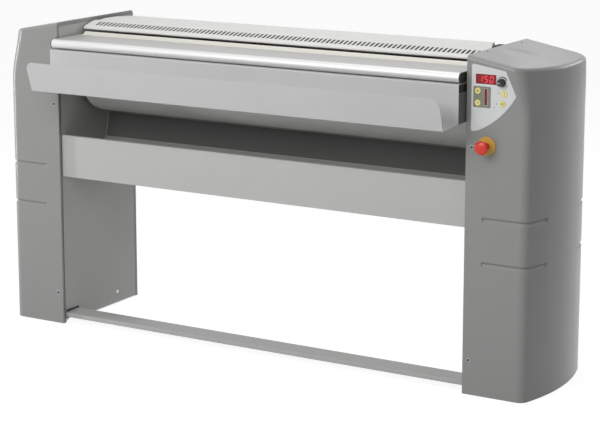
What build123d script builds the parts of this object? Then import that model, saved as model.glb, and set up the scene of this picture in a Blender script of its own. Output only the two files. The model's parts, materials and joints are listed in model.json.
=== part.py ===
from build123d import *
from math import asin, atan2, cos, degrees, hypot, pi, radians, sin, sqrt, tan
import os

os.makedirs("parts", exist_ok=True)

# A free-standing flatwork ironer, in millimetres. X runs along the roll, +Y is the rear and +Z is up.
# Depths are measured back from the flat front of the columns, heights up from the floor.

# ---- overall and columns -------------------------------------------------------------------
plate_gap = 1440.0            # clear width between the two side plates
column_reach = 224.0          # from a side plate out to the crown of the bulging side
column_depth = 416.0
column_rise = 8.0             # of the inner top edge above the hood
column_fall = 10.5            # slope of the top, in degrees, falling outward
side_radius = 640.0           # bulge of the outer side, seen from above
low_corner = 28.0             # vertical corners below the shoulder
shoulder_drop = 203.5         # below the top, where the front corner starts to lean in
shoulder_bend = 70.0          # height over which the lean sets in
top_crown_back = 66.0         # the bulge's crown has moved back by this much at the top
top_crown_in = 13.7           # and in by this much
top_front_corner = 48.0
top_rear_corner = 66.0
top_edge_radius = 12.0
dish_radius = 60.0            # of the shallow round dish in the top
dish_deep = 2.5
dish_middle = (78.0, 192.0)   # out from the side plate, and depth
cover_wall = 4.0
cover_lip = 12.5              # width of the lip that frames the side plate
lip_thickness = 3.0
floor_clearance = 6.0

groove_heights = (397.0, 527.0)
groove_start = 60.0           # from the side plate, on the front
groove_end_depth = 92.0       # on the side
groove_deep = 5.0
groove_tall = 14.0
groove_floor = 1.5

fit_gap = 0.5                 # between neighbouring fixed pieces that only sit side by side
swing_gap = 1.2               # between neighbouring pieces that move past each other
run_fit = 0.05                # radial clearance of a shaft in its bore
seam = 0.2                    # left between pieces that are joined edge to edge

# ---- side plates, tubes and panels ---------------------------------------------------------
plate_sheet = 3.0
plate_flange = 20.0
sheet = 1.5
tube_side = 30.0
tube_wall = 2.0
front_tube_depth = 30.0
front_tube_drop = 85.5        # below the feed table
rear_tube_ahead = 20.0        # of the chest's pivot
rear_tube_drop = 90.0         # below the chest's pivot
rear_panel_inset = 10.0       # in front of the columns' backs
rear_panel_low = 600.0
rear_panel_drop = 43.5        # below the columns' tops
rear_panel_flange = 14.0

# ---- roll ----------------------------------------------------------------------------------
roll_radius = 125.0
roll_length = 1400.0
roll_depth = 221.0
roll_height = 811.5
padding_thickness = 7.0
drum_wall = 4.0
drum_disc = 8.0
hub_radius = 30.0
hub_length = 32.0
shaft_radius = 15.0
bearing_flange = 92.0
bearing_flange_thick = 12.0
bearing_hub_radius = 33.0
bearing_length = 28.0
bearing_bolt_pitch = 66.0
bearing_bolt_radius = 4.0

# ---- chain drive, in the left column -------------------------------------------------------
chain_pitch = 12.7
roll_teeth = 44
motor_teeth = 16
chain_links = 84
chain_plane = 759.0           # distance of the chain from the middle of the machine
sprocket_thick = 7.0
chain_width = 14.0
chain_height = 10.0
motor_shaft_radius = 10.0
gearbox_size = (74.0, 116.0, 124.0)
gearbox_drop = 14.0           # its middle lies below the output shaft
motor_radius = 58.0
motor_length = 176.0
bracket_sheet = 4.0
bracket_foot = 52.0           # length of the motor bracket's flange on the side plate

# ---- heated chest --------------------------------------------------------------------------
chest_gap = 0.8               # from the cloth to the chest when it is closed
chest_thick = 18.0
chest_low_angle = -50.0       # lower end, seen from the roll's axis, 0 being straight back
chest_high_angle = 97.0       # leading edge, just in front of the roll's top
chest_overhang = 3.0          # beyond each end of the roll
chest_staves = 14             # side by side round the roll; every second one holds a heater
insulation_thick = 12.0
insulation_low_inset = 6.0    # short of the chest's lower end, in degrees
insulation_high_inset = 12.0
insulation_end_inset = 6.0    # short of the roll's ends
chest_open_angle = 2.5        # how far it stands open at rest, in degrees
chest_pivot_depth = 372.0
chest_pivot_height = 610.0
chest_arm_thick = 8.0
arm_width = 44.0
horn_width = 30.0
pivot_radius = 8.0
pivot_nut_radius = 13.0
pivot_nut_thick = 7.0
side_play = 0.4               # along a pivot, on each side of what turns on it
heater_radius = 4.0
link_pin_radius = 6.0
thermostat_size = (46.0, 18.0, 34.0)
thermostat_place = 560.0
thermostat_angle = -20.0

# ---- pedal ---------------------------------------------------------------------------------
pedal_front = 18.5
pedal_back = 82.0
pedal_low = 24.0
pedal_front_top = 38.0
pedal_back_top = 41.5
pedal_sheet = 2.0
pedal_press_angle = 3.4
pedal_pivot_depth = 300.0
pedal_pivot_height = 45.0
lever_thick = 6.0
lever_offset = 15.0           # from the side plate's inner face
lever_eye = 15.0              # radius of the lever's end round its pivot
pedal_room = 20.0             # left open behind the foot bar in the base and the plate's flange
pedal_pin_radius = 6.0
link_arm = 60.0               # from the pedal's pivot forward to the link's lower pin
lower_pin_radius = 5.0
link_width = 24.0
link_thick = 6.0
pin_end = 4.0                 # how far the pins stand out past the links
open_pin_gap = 0.6            # play of the link's upper eye round its pin
spring_radius = 8.0
spring_wall = 2.0
spring_depth = 122.0
spring_length = 90.0
spring_seat = 1.5
anchor_size = (24.0, 12.0)

# ---- hood ----------------------------------------------------------------------------------
hood_clearance = 16.7         # from the chest's jacket to the hood's crown, when closed
hood_lip_depth = 134.0
hood_lip_drop = 23.5          # heights of the hood are given down from its crown
hood_hem = 15.0
hood_ramp_drop = 13.5
hood_slot_drop = 4.0
hood_crown_depth = 234.0
hood_fall_depth = 300.0       # the hood falls to the rear from here
hood_fall_drop = 1.0
hood_rear_drop = 7.5
hood_rear_skirt = 21.0
hood_half_front = 714.0
hood_half_rear = 700.0
hood_step_depth = 200.0       # behind this the hood is narrower
hood_cut_depth = 270.0        # the right rear corner is cut off from here
hood_cut_half = 626.0
hood_cut_start = 670.0
hood_hinge_depth = 374.0
hood_hinge_drop = 21.5
hood_behind_hinge = 10.0
hinge_rod_radius = 5.0
hinge_places = (-500.0, 500.0)
hinge_width = 40.0
hinge_edge = 8.0              # of the hinge blocks below and in front of the rod
slot_count = 91
slot_pitch = 15.0
slot_width = 5.0
slot_front = 150.0
slot_back = 178.0
buffer_size = (56.0, 30.0)
buffer_depth = 230.0
guard_size = (44.0, 24.0)
guard_ahead = 46.0            # of the hinge rod
guard_drop = 45.5             # below the hood's crown

# ---- feed table and laundry tray -----------------------------------------------------------
table_half = 712.5
table_rise = 9.0              # above the top of the roll
table_back = 112.0
nose_reach = 39.0             # in front of the columns
nose_height = 29.0
nose_back = 8.0               # where the nose's lower side ends
table_sheet = 3.0
end_cap = 3.0
table_bracket_places = (-560.0, -190.0, 190.0, 560.0)
table_bracket_width = 40.0
table_bracket_foot = 24.0
table_bracket_arm = 28.0
tray_half = 715.5
tray_reach = 168.0            # in front of the columns
tray_gap = 2.5                # under the table's nose
tray_lip_drop = 57.5          # lip's top below the table
tray_lip_tall = 93.0
tray_floor_rise = 6.0
tray_bottom_reach = 137.0
tray_wall_reach = 42.0
tray_corner = 27.0
tray_block = (64.0, 24.0)
tray_block_thick = 15.0

# ---- collecting trough ---------------------------------------------------------------------
trough_front = 15.2
trough_low = 495.0
trough_high = 630.0
trough_rim = (13.0, 12.0)     # the rim's depth and its turned-down height
trough_floor_depth = 120.0
trough_floor_rise = 5.0
trough_bend_depth = 248.0
trough_bend_rise = 94.0
trough_back_depth = 270.0
trough_clearance = 10.5       # below the roll

# ---- controls, on the right column; places are out from the plate and down from the top ------
panel_thick = 1.5
panel_near = 15.5
panel_high = 22.5
panel_low = 216.0
panel_shoulder = (119.5, 38.5)
panel_tip = (152.5, 107.0)
panel_belly = (102.5, 168.7)
panel_foot = (38.0, 211.0)
panel_corner = 6.0
window_size = (63.0, 28.0)
window_place = (59.5, 64.5)
bar_size = (9.0, 47.0)
bar_place = (59.5, 115.0)
knob_radius = 12.0
knob_height = 15.0
knob_place = (108.0, 70.5)
knob_shaft_radius = 3.0
button_radius = 9.0
button_proud = 1.2
button_stem = 8.0
button_stem_radius = 4.0
button_travel = 1.0
button_places = {
    "plus_button": (35.0, 98.5),
    "minus_button": (35.0, 132.5),
    "start_button": (116.0, 102.5),
    "stop_button": (111.0, 130.5),
}
board_size = (100.0, 110.0)
board_place = (72.0, 93.5)
board_thick = 1.6
board_foot_radius = 3.0
estop_place = (65.0, 253.5)
estop_ring_radius = 27.0
estop_ring_thick = 4.0
estop_head_radius = 20.0
estop_head_thick = 17.0
estop_reach = 45.0            # head in front of the column
estop_stem_radius = 10.0
estop_travel = 5.0
contact_block = (30.0, 44.0, 42.0)

inverter_size = (96.0, 150.0, 240.0)
inverter_place = (150.0, 520.0)
gland_place = (110.0, 90.0)   # out from the side plate, and height
gland_reach = 14.0            # behind the column
gland_inside = 24.0
gland_radius = 12.0
gland_bore = 6.0
foot_radius = 19.0
foot_thick = 5.0
foot_insets = (45.0, 160.0)   # out from the side plate
foot_depth = 55.0             # in from the front and the back
stud_radius = 5.0
stud_top = 34.0
nut_radius = 9.0
nut_thick = 8.0
screw_head_radius = 4.6
screw_head_thick = 2.4
screw_radius = 2.4
screw_length = 20.0
cover_screw_inset = 18.0
low_screw_height = 109.0
high_screw_drop = 261.5

# ---- places worked out from the sizes ------------------------------------------------------
inner = plate_gap / 2
front = (tray_reach - column_depth - gland_reach) / 2
back = front + column_depth
middle = (front + back) / 2
half_depth = column_depth / 2
roll_half = roll_length / 2
roll_y = front + roll_depth
roll_axis = Axis((0, roll_y, roll_height), (1, 0, 0))
chest_inside = roll_radius + chest_gap
chest_outside = chest_inside + chest_thick
insulation_outside = chest_outside + insulation_thick
table_top = roll_height + roll_radius + table_rise
front_tube_height = table_top - front_tube_drop
hood_top = roll_height + insulation_outside + sheet + hood_clearance
hood_lip_height = hood_top - hood_lip_drop
hood_hinge_height = hood_top - hood_hinge_drop
column_height = hood_top + column_rise
shoulder_height = column_height - shoulder_drop
cover_screw_heights = (low_screw_height, column_height - high_screw_drop)
tray_top = table_top - nose_height - tray_gap
tray_lip_top = table_top - tray_lip_drop
tray_lip_bottom = tray_lip_top - tray_lip_tall
tray_floor_back = tray_lip_bottom + tray_floor_rise
plate_outer = inner + plate_sheet
chest_half = roll_half + chest_overhang
arm_outer = chest_half + chest_arm_thick
lever_inner = inner + lever_offset
lever_outer = lever_inner + lever_thick
pedal_half = lever_inner
top_slope = radians(column_fall)


def on_column(place):
    """A control's X and height, from its place out from the plate and down from the top."""
    return inner + place[0], column_height - place[1]


window_middle = on_column(window_place)
bar_middle = on_column(bar_place)
knob_middle = on_column(knob_place)
estop_middle = on_column(estop_place)
button_middles = {name: on_column(place) for name, place in button_places.items()}


def profile_plane(x):
    """An upright plane across the machine; its sketches take depth and height."""
    return Plane(origin=(x, front, 0), x_dir=(0, 1, 0), z_dir=(1, 0, 0))


def front_plane(depth):
    """A plane facing forward; its sketches take X and height."""
    return Plane(origin=(0, front + depth, 0), x_dir=(1, 0, 0), z_dir=(0, -1, 0))


def sheet_line(points, bend, thickness):
    """The folded section of a sheet whose middle line runs through the points."""
    with BuildLine() as middle_line:
        FilletPolyline(*points, radius=bend)
    trace(middle_line.line, line_width=thickness)


def save(piece, name):
    piece.part.label = name
    export_step(piece.part, f"parts/{name}.step")


def mirrored(piece):
    """The left-hand piece of a right-hand one."""
    with BuildPart() as other:
        add(mirror(piece.part, about=Plane.YZ))
    return other


def both_sides(piece):
    """One node that holds a right-hand piece and its left-hand twin."""
    with BuildPart() as pair:
        add(piece.part)
        mirror(piece.part, about=Plane.YZ)
    return pair


# ---- column covers -------------------------------------------------------------------------
def corner_place(reach, corner):
    """How far an outer corner's centre lies from the side circle's, and where the two arcs meet."""
    rise = reach - corner
    away = sqrt((side_radius - corner) ** 2 - rise ** 2)
    return away, degrees(atan2(rise, away))


def column_outline(lean, inset, start):
    """Floor plan of a column at a share of its full lean, drawn in from its outer face."""
    crown = front + half_depth + lean * top_crown_back
    side_x = inner + column_reach - lean * top_crown_in - side_radius
    front_corner = low_corner + lean * (top_front_corner - low_corner)
    rear_corner = low_corner + lean * (top_rear_corner - low_corner)
    front_away, front_meet = corner_place(crown - front, front_corner)
    rear_away, rear_meet = corner_place(back - crown, rear_corner)
    near, far = front + inset, back - inset
    with BuildLine() as outline:
        Line((start, near), (side_x + front_away, near))
        CenterArc((side_x + front_away, front + front_corner), front_corner - inset, -90, 90 - front_meet)
        CenterArc((side_x, crown), side_radius - inset, -front_meet, front_meet + rear_meet)
        CenterArc((side_x + rear_away, back - rear_corner), rear_corner - inset, rear_meet, 90 - rear_meet)
        Polyline((side_x + rear_away, far), (start, far), (start, near))
    make_face(outline.line)


loft_top = column_height + 10


def lean_at(height):
    """Share of the full lean at a height: it sets in over the bend and then grows evenly."""
    rise = height - shoulder_height
    straight = loft_top - shoulder_height - shoulder_bend / 2
    if rise < shoulder_bend:
        return rise ** 2 / (2 * shoulder_bend * straight)
    return (rise - shoulder_bend / 2) / straight


def column_form(inset, start, bottom, edge_radius):
    """The column as a solid: upright below the shoulder, leaning in above, with a sloping top."""
    bend_top = shoulder_height + shoulder_bend
    bend_heights = [shoulder_height + shoulder_bend * step / 3 for step in range(4)]
    top_point = (inner, middle, column_height - inset / cos(top_slope))
    with BuildPart() as form:
        with BuildSketch(Plane.XY.offset(bottom)):
            column_outline(0, inset, start)
        extrude(amount=shoulder_height - bottom)
        sections = []
        for height in (*bend_heights, (bend_top + loft_top) / 2, loft_top):
            with BuildSketch(Plane.XY.offset(height)) as section:
                column_outline(lean_at(height), inset, start)
            sections.append(section.sketch)
        loft(sections=sections)
        split(bisect_by=Plane(top_point, x_dir=(0, 1, 0), z_dir=(sin(top_slope), 0, cos(top_slope))),
              keep=Keep.BOTTOM)
        top_face = form.faces().sort_by(Axis.Z)[-1]
        inner_edge = top_face.edges().sort_by(Axis.X)[0]
        fillet([edge for edge in top_face.edges() if edge != inner_edge], edge_radius)
    return form.part


def groove_cutters(extra):
    """Grooves round the front and rear outer corners; extra thickens them for the cover's inside."""
    side_x = inner + column_reach - side_radius
    away, meet = corner_place(half_depth, low_corner)
    corner_x = side_x + away
    end_angle = degrees(asin((half_depth - groove_end_depth) / side_radius))
    begin = inner + groove_start
    tall, flat, deep = groove_tall / 2 + extra, groove_floor / 2 + extra, groove_deep + extra
    with BuildPart() as cutters:
        for height in groove_heights:
            with BuildLine(Plane.XY.offset(height)) as path:
                Line((begin, front), (corner_x, front))
                CenterArc((corner_x, front + low_corner), low_corner, -90, 90 - meet)
                CenterArc((side_x, middle), side_radius, -meet, meet - end_angle)
            start = Plane(origin=(begin, front, height), x_dir=(0, 1, 0), z_dir=(1, 0, 0))
            with BuildSketch(start) as section:
                with BuildLine():
                    Polyline((-1, -tall), (0, -tall), (deep, -flat), (deep, flat), (0, tall), (-1, tall),
                             close=True)
                make_face()
            sweep(sections=section.sketch, path=path.wires()[0])
            turn = radians(end_angle)
            ball = (tall ** 2 + deep ** 2) / (2 * deep)
            outside = side_radius + ball - deep
            with Locations((begin, front - ball + deep, height),
                           (side_x + outside * cos(turn), middle - outside * sin(turn), height)):
                Sphere(ball)
        mirror(about=Plane(origin=(0, middle, 0), z_dir=(0, 1, 0)))
    return cutters.part


def dish(extra):
    """The ball whose cap sinks a shallow dish into the sloping top; extra is for the inside."""
    ball = (dish_radius ** 2 + dish_deep ** 2) / (2 * dish_deep)
    x, lift = inner + dish_middle[0], ball - dish_deep
    surface = column_height - dish_middle[0] * tan(top_slope)
    with BuildPart() as sphere:
        with Locations((x + lift * sin(top_slope), front + dish_middle[1], surface + lift * cos(top_slope))):
            Sphere(ball + extra)
    return sphere.part


cover_outside = column_form(0, inner, floor_clearance, top_edge_radius)
cover_inside = column_form(cover_wall, inner + lip_thickness, floor_clearance - 1,
                           top_edge_radius - cover_wall)
lip_top = column_height - cover_lip

with BuildPart() as column_cover:
    add(cover_outside)
    add(groove_cutters(0), mode=Mode.SUBTRACT)
    add(dish(0), mode=Mode.SUBTRACT)
    add(cover_inside - groove_cutters(cover_wall) - dish(cover_wall), mode=Mode.SUBTRACT)
    with BuildSketch(profile_plane(inner - 1)):
        with Locations((half_depth, lip_top / 2)):
            Rectangle(column_depth - 2 * cover_lip, lip_top)
    extrude(amount=lip_thickness + 2, mode=Mode.SUBTRACT)
    for height in cover_screw_heights:
        with Locations(front_plane(0)):
            with Locations((inner + cover_screw_inset, height)):
                Hole(screw_radius + run_fit, depth=column_depth * 2)

left_column_cover = mirrored(column_cover)
save(left_column_cover, "left_column_cover")

gland_middle = (inner + gland_place[0], gland_place[1])
with BuildPart() as right_column_cover:
    add(column_cover.part)
    with BuildSketch(front_plane(-1)):
        with Locations(window_middle):
            Rectangle(window_size[0] + 2, window_size[1] + 2)
        with Locations(bar_middle):
            Rectangle(bar_size[0] + 2, bar_size[1] + 2)
        with Locations(*button_middles.values()):
            Circle(button_radius + 1)
        with Locations(knob_middle):
            Circle(knob_shaft_radius + 1)
        with Locations(estop_middle):
            Circle(estop_stem_radius + swing_gap + 1)
    extrude(amount=-(cover_wall + 3), mode=Mode.SUBTRACT)
    with BuildSketch(front_plane(column_depth + 1)):
        with Locations(gland_middle):
            Circle(gland_radius + run_fit)
    extrude(amount=cover_wall + 3, mode=Mode.SUBTRACT)
save(right_column_cover, "right_column_cover")

# ---- side plates ---------------------------------------------------------------------------
plate_front = cover_lip + fit_gap
plate_back = column_depth - cover_lip - fit_gap
plate_top = lip_top - fit_gap
base_thick = 3.0
plate_low = floor_clearance + base_thick
chest_pin_arm = link_arm * radians(pedal_press_angle) / radians(chest_open_angle)
link_lower = (pedal_pivot_depth - link_arm, pedal_pivot_height)
open_turn = radians(chest_open_angle)
pin_drop = chest_pin_arm * sin(open_turn)
link_upper = (chest_pivot_depth - chest_pin_arm * cos(open_turn), chest_pivot_height + pin_drop)
pedal_slot = (pedal_front - 2, pedal_back + 3, plate_low - 1, pedal_back_top + 6)
pedal_room_back = pedal_back + pedal_room

with BuildPart() as side_plate:
    with BuildSketch(profile_plane(inner)):
        with Locations(((plate_front + plate_back) / 2, (plate_low + plate_top) / 2)):
            Rectangle(plate_back - plate_front, plate_top - plate_low)
    extrude(amount=plate_flange)
    with BuildSketch(profile_plane(plate_outer)):
        with Locations(((plate_front + plate_back) / 2, (plate_low + plate_top) / 2)):
            Rectangle(plate_back - plate_front - 2 * plate_sheet, plate_top - plate_low - 2 * plate_sheet)
    extrude(amount=plate_flange, mode=Mode.SUBTRACT)
    with BuildSketch(profile_plane(inner - 1)):
        with Locations((roll_depth, roll_height)):
            Circle(shaft_radius + 8)
            with GridLocations(bearing_bolt_pitch, bearing_bolt_pitch, 2, 2):
                Circle(bearing_bolt_radius + run_fit)
        with Locations((chest_pivot_depth, chest_pivot_height)):
            Circle(pivot_radius + run_fit)
        with Locations((link_upper[0], link_upper[1] - pin_drop)):
            SlotOverall(4 * link_pin_radius + 2 * pin_drop, 2 * link_pin_radius + 4, rotation=90)
        with Locations((pedal_pivot_depth, pedal_pivot_height)):
            Circle(pedal_pin_radius + run_fit)
        with Locations((hood_hinge_depth, hood_hinge_height)):
            Circle(hinge_rod_radius + run_fit)
        with Locations(((pedal_slot[0] + pedal_slot[1]) / 2, (pedal_slot[2] + pedal_slot[3]) / 2)):
            Rectangle(pedal_slot[1] - pedal_slot[0], pedal_slot[3] - pedal_slot[2])
    extrude(amount=plate_sheet + 2, mode=Mode.SUBTRACT)
    with BuildSketch(profile_plane(plate_outer)):
        with Locations((plate_front + plate_sheet, plate_low - 1)):
            Rectangle(pedal_room_back - plate_front - plate_sheet, plate_sheet + 2, align=Align.MIN)
    extrude(amount=plate_flange, mode=Mode.SUBTRACT)
    for height in cover_screw_heights:
        with Locations(front_plane(0)):
            with Locations((inner + cover_screw_inset, height)):
                Hole(screw_radius + run_fit, depth=column_depth * 2)
right_side_plate = side_plate
left_side_plate = mirrored(side_plate)
save(right_side_plate, "right_side_plate")
save(left_side_plate, "left_side_plate")

# ---- base pans and feet --------------------------------------------------------------------
foot_places = [(inner + inset, y) for inset in foot_insets for y in (front + foot_depth, back - foot_depth)]
with BuildPart() as base_pan:
    with BuildSketch(Plane.XY.offset(floor_clearance)):
        column_outline(0, cover_wall + fit_gap, inner)
        with Locations(*foot_places):
            Circle(stud_radius + run_fit, mode=Mode.SUBTRACT)
        with Locations((inner, front), (inner, back)):
            Rectangle(2 * (lip_thickness + fit_gap), 2 * (cover_lip + fit_gap), mode=Mode.SUBTRACT)
        with Locations((inner, front + plate_front + plate_sheet)):
            Rectangle(lever_outer + swing_gap - inner, pedal_room_back - plate_front - plate_sheet,
                      align=Align.MIN, mode=Mode.SUBTRACT)
    extrude(amount=base_thick)
save(both_sides(base_pan), "base_pans")

with BuildPart() as right_feet:
    for x, y in foot_places:
        with BuildSketch(Plane(origin=(x, y, 0), x_dir=(1, 0, 0), z_dir=(0, -1, 0))):
            with BuildLine():
                Polyline((0, 0), (foot_radius, 0), (foot_radius - 3, foot_thick), (stud_radius, foot_thick),
                         (stud_radius, stud_top), (0, stud_top), close=True)
            make_face()
        revolve(axis=Axis((x, y, 0), (0, 0, 1)))
    with BuildSketch(Plane.XY.offset(floor_clearance + base_thick)):
        with Locations(*foot_places):
            RegularPolygon(nut_radius, 6)
    extrude(amount=nut_thick)
save(both_sides(right_feet), "leveling_feet")

# ---- cross tubes, rear panel and trough ----------------------------------------------------
with BuildPart() as cross_tubes:
    rear_tube = (chest_pivot_depth - rear_tube_ahead, chest_pivot_height - rear_tube_drop)
    for depth, height in ((front_tube_depth, front_tube_height), rear_tube):
        with BuildSketch(profile_plane(-inner)):
            with Locations((depth + tube_side / 2, height + tube_side / 2)):
                RectangleRounded(tube_side, tube_side, 3)
                Rectangle(tube_side - 2 * tube_wall, tube_side - 2 * tube_wall, mode=Mode.SUBTRACT)
        extrude(amount=plate_gap)
save(cross_tubes, "cross_tubes")

with BuildPart() as rear_panel:
    with BuildSketch(profile_plane(-inner + fit_gap)):
        depth = column_depth - rear_panel_inset + sheet / 2
        rear_panel_high = column_height - rear_panel_drop
        sheet_line([(depth - rear_panel_flange, rear_panel_low), (depth, rear_panel_low),
                    (depth, rear_panel_high), (depth - rear_panel_flange, rear_panel_high)], 2.5, sheet)
    extrude(amount=plate_gap - 2 * fit_gap)
save(rear_panel, "rear_panel")

with BuildPart() as collecting_trough:
    low, high = trough_low + sheet / 2, trough_high - sheet / 2
    wall_high = high - sheet / 2 - seam
    floor_front = trough_front + sheet / 2 + seam
    back_top = roll_height - roll_radius - trough_clearance
    rim_back = trough_front + trough_rim[0]
    with BuildSketch(profile_plane(-inner + fit_gap)):
        with Locations((trough_front, (trough_low + wall_high) / 2)):
            Rectangle(sheet, wall_high - trough_low)
        sheet_line([(floor_front, low), (trough_floor_depth, low + trough_floor_rise),
                    (trough_bend_depth, trough_low + trough_bend_rise), (trough_back_depth, back_top)], 3, sheet)
        sheet_line([(trough_front - sheet / 2, high), (rim_back, high), (rim_back, high - trough_rim[1])],
                   3, sheet)
    extrude(amount=plate_gap - 2 * fit_gap)
save(collecting_trough, "collecting_trough")

# ---- roll ----------------------------------------------------------------------------------
def turned(points):
    """A half section on the roll's axis: X along the axis, then radius."""
    plane = Plane(origin=(0, roll_y, roll_height), x_dir=(1, 0, 0), z_dir=(0, -1, 0))
    with BuildSketch(plane) as section:
        with BuildLine():
            Polyline(*points, close=True)
        make_face()
    revolve(section.sketch, axis=roll_axis)


drum_radius = roll_radius - padding_thickness
with BuildPart() as roll_drum:
    inside = drum_radius - drum_wall
    disc = roll_half - drum_disc
    hub = roll_half - hub_length
    turned([(-roll_half, shaft_radius), (-hub, shaft_radius), (-hub, hub_radius), (-disc, hub_radius),
            (-disc, inside), (disc, inside), (disc, hub_radius), (hub, hub_radius), (hub, shaft_radius),
            (roll_half, shaft_radius), (roll_half, drum_radius), (-roll_half, drum_radius)])
save(roll_drum, "roll_drum")

with BuildPart() as roll_padding:
    turned([(-roll_half, drum_radius), (roll_half, drum_radius), (roll_half, roll_radius),
            (-roll_half, roll_radius)])
    fillet(roll_padding.edges().filter_by(GeomType.CIRCLE).group_by(SortBy.RADIUS)[-1], 2.5)
save(roll_padding, "roll_padding")

bearing_end = plate_outer + bearing_length
drive_end = chain_plane + sprocket_thick / 2 + 12
with BuildPart() as roll_shafts:
    turned([(roll_half - hub_length, 0), (bearing_end + 6, 0), (bearing_end + 6, shaft_radius - 1.5),
            (bearing_end + 4.5, shaft_radius), (roll_half - hub_length, shaft_radius)])
    turned([(hub_length - roll_half, 0), (-drive_end, 0), (-drive_end, shaft_radius - 1.5),
            (1.5 - drive_end, shaft_radius), (hub_length - roll_half, shaft_radius)])
save(roll_shafts, "roll_shafts")

with BuildPart() as right_bearing:
    with BuildSketch(profile_plane(plate_outer)):
        with Locations((roll_depth, roll_height)):
            RectangleRounded(bearing_flange, bearing_flange, 14)
            with GridLocations(bearing_bolt_pitch, bearing_bolt_pitch, 2, 2):
                Circle(bearing_bolt_radius + run_fit, mode=Mode.SUBTRACT)
    extrude(amount=bearing_flange_thick)
    with BuildSketch(profile_plane(plate_outer)):
        with Locations((roll_depth, roll_height)):
            Circle(bearing_hub_radius)
    extrude(amount=bearing_length)
    with BuildSketch(profile_plane(plate_outer)):
        with Locations((roll_depth, roll_height)):
            Circle(shaft_radius + run_fit)
    extrude(amount=bearing_length, mode=Mode.SUBTRACT)
save(both_sides(right_bearing), "roll_bearings")

with BuildPart() as right_bolts:
    with BuildSketch(profile_plane(inner - 5)):
        with Locations((roll_depth, roll_height)):
            with GridLocations(bearing_bolt_pitch, bearing_bolt_pitch, 2, 2):
                RegularPolygon(7.5, 6)
    extrude(amount=5)
    with BuildSketch(profile_plane(inner)):
        with Locations((roll_depth, roll_height)):
            with GridLocations(bearing_bolt_pitch, bearing_bolt_pitch, 2, 2):
                Circle(bearing_bolt_radius)
    extrude(amount=plate_sheet + bearing_flange_thick + 5)
save(both_sides(right_bolts), "bearing_bolts")

# ---- chain drive ---------------------------------------------------------------------------
roll_pitch_radius = chain_pitch / (2 * sin(pi / roll_teeth))
motor_pitch_radius = chain_pitch / (2 * sin(pi / motor_teeth))


def chain_span():
    """Distance between the sprockets for which the chain closes on a whole number of links."""
    half_sum = chain_links - (roll_teeth + motor_teeth) / 2
    spread = 2 * ((roll_teeth - motor_teeth) / (2 * pi)) ** 2
    return chain_pitch / 4 * (half_sum + sqrt(half_sum ** 2 - 4 * spread))


motor_height = roll_height - chain_span()


def sprocket(teeth, pitch_radius, height, bore):
    """A toothed disc in the chain's plane, with its teeth between the chain's rollers."""
    root = pitch_radius - 4.6
    tip = pitch_radius + 3.6
    with BuildPart() as wheel:
        with BuildSketch(profile_plane(-chain_plane - sprocket_thick / 2)):
            with Locations((roll_depth, height)):
                Circle(root)
                with PolarLocations(root - 1, teeth):
                    with Locations((0, 0)):
                        Trapezoid(9.2, tip - root + 1, 66, rotation=-90, align=(Align.CENTER, Align.MIN))
                Circle(bore, mode=Mode.SUBTRACT)
        extrude(amount=sprocket_thick)
    return wheel


roll_sprocket = sprocket(roll_teeth, roll_pitch_radius, roll_height, shaft_radius)
save(roll_sprocket, "roll_sprocket")
motor_sprocket = sprocket(motor_teeth, motor_pitch_radius, motor_height, motor_shaft_radius)
save(motor_sprocket, "motor_sprocket")

with BuildPart() as motor_shaft:
    with BuildSketch(profile_plane(-chain_plane + sprocket_thick / 2 + 2)):
        with Locations((roll_depth, motor_height)):
            Circle(motor_shaft_radius)
    extrude(amount=-(sprocket_thick + 34))
save(motor_shaft, "motor_shaft")


def chain_band(aside):
    """Outline of the chain's run round both sprockets, this far outside its pitch line."""
    wrap = asin((roll_pitch_radius - motor_pitch_radius) / chain_span())
    turn = degrees(wrap)
    top, big = (roll_depth, roll_height), roll_pitch_radius + aside
    low, small = (roll_depth, motor_height), motor_pitch_radius + aside
    with BuildSketch(profile_plane(-chain_plane - chain_width / 2)) as band:
        with BuildLine():
            CenterArc(top, big, -turn, 180 + 2 * turn)
            CenterArc(low, small, 180 + turn, 180 - 2 * turn)
            for side in (-1, 1):
                Line((top[0] + side * big * cos(wrap), top[1] - big * sin(wrap)),
                     (low[0] + side * small * cos(wrap), low[1] - small * sin(wrap)))
        make_face()
    return band.sketch


with BuildPart() as drive_chain:
    extrude(chain_band(chain_height / 2), amount=chain_width)
    extrude(chain_band(-chain_height / 2), amount=chain_width, mode=Mode.SUBTRACT)
    with BuildSketch(profile_plane(-chain_plane - sprocket_thick / 2 - 0.5)):
        with Locations((roll_depth, roll_height)):
            Circle(roll_pitch_radius + 4)
        with Locations((roll_depth, motor_height)):
            Circle(motor_pitch_radius + 4)
    extrude(amount=sprocket_thick + 1, mode=Mode.SUBTRACT)
save(drive_chain, "drive_chain")

gearbox_near = chain_plane + chain_width / 2 + 6
gearbox_low = motor_height - gearbox_drop - gearbox_size[2] / 2
with BuildPart() as gearmotor:
    with BuildSketch(profile_plane(-gearbox_near)):
        with Locations((roll_depth, motor_height - gearbox_drop)):
            RectangleRounded(gearbox_size[1], gearbox_size[2], 10)
    extrude(amount=-gearbox_size[0])
    with BuildSketch(Plane.XY.offset(gearbox_low)):
        with Locations((-gearbox_near - motor_radius - 2, front + roll_depth)):
            Circle(motor_radius)
    extrude(amount=-motor_length)
    with BuildSketch(profile_plane(-gearbox_near)):
        with Locations((roll_depth, motor_height)):
            Circle(motor_shaft_radius + run_fit)
    extrude(amount=-gearbox_size[0], mode=Mode.SUBTRACT)
save(gearmotor, "gearmotor")

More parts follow.
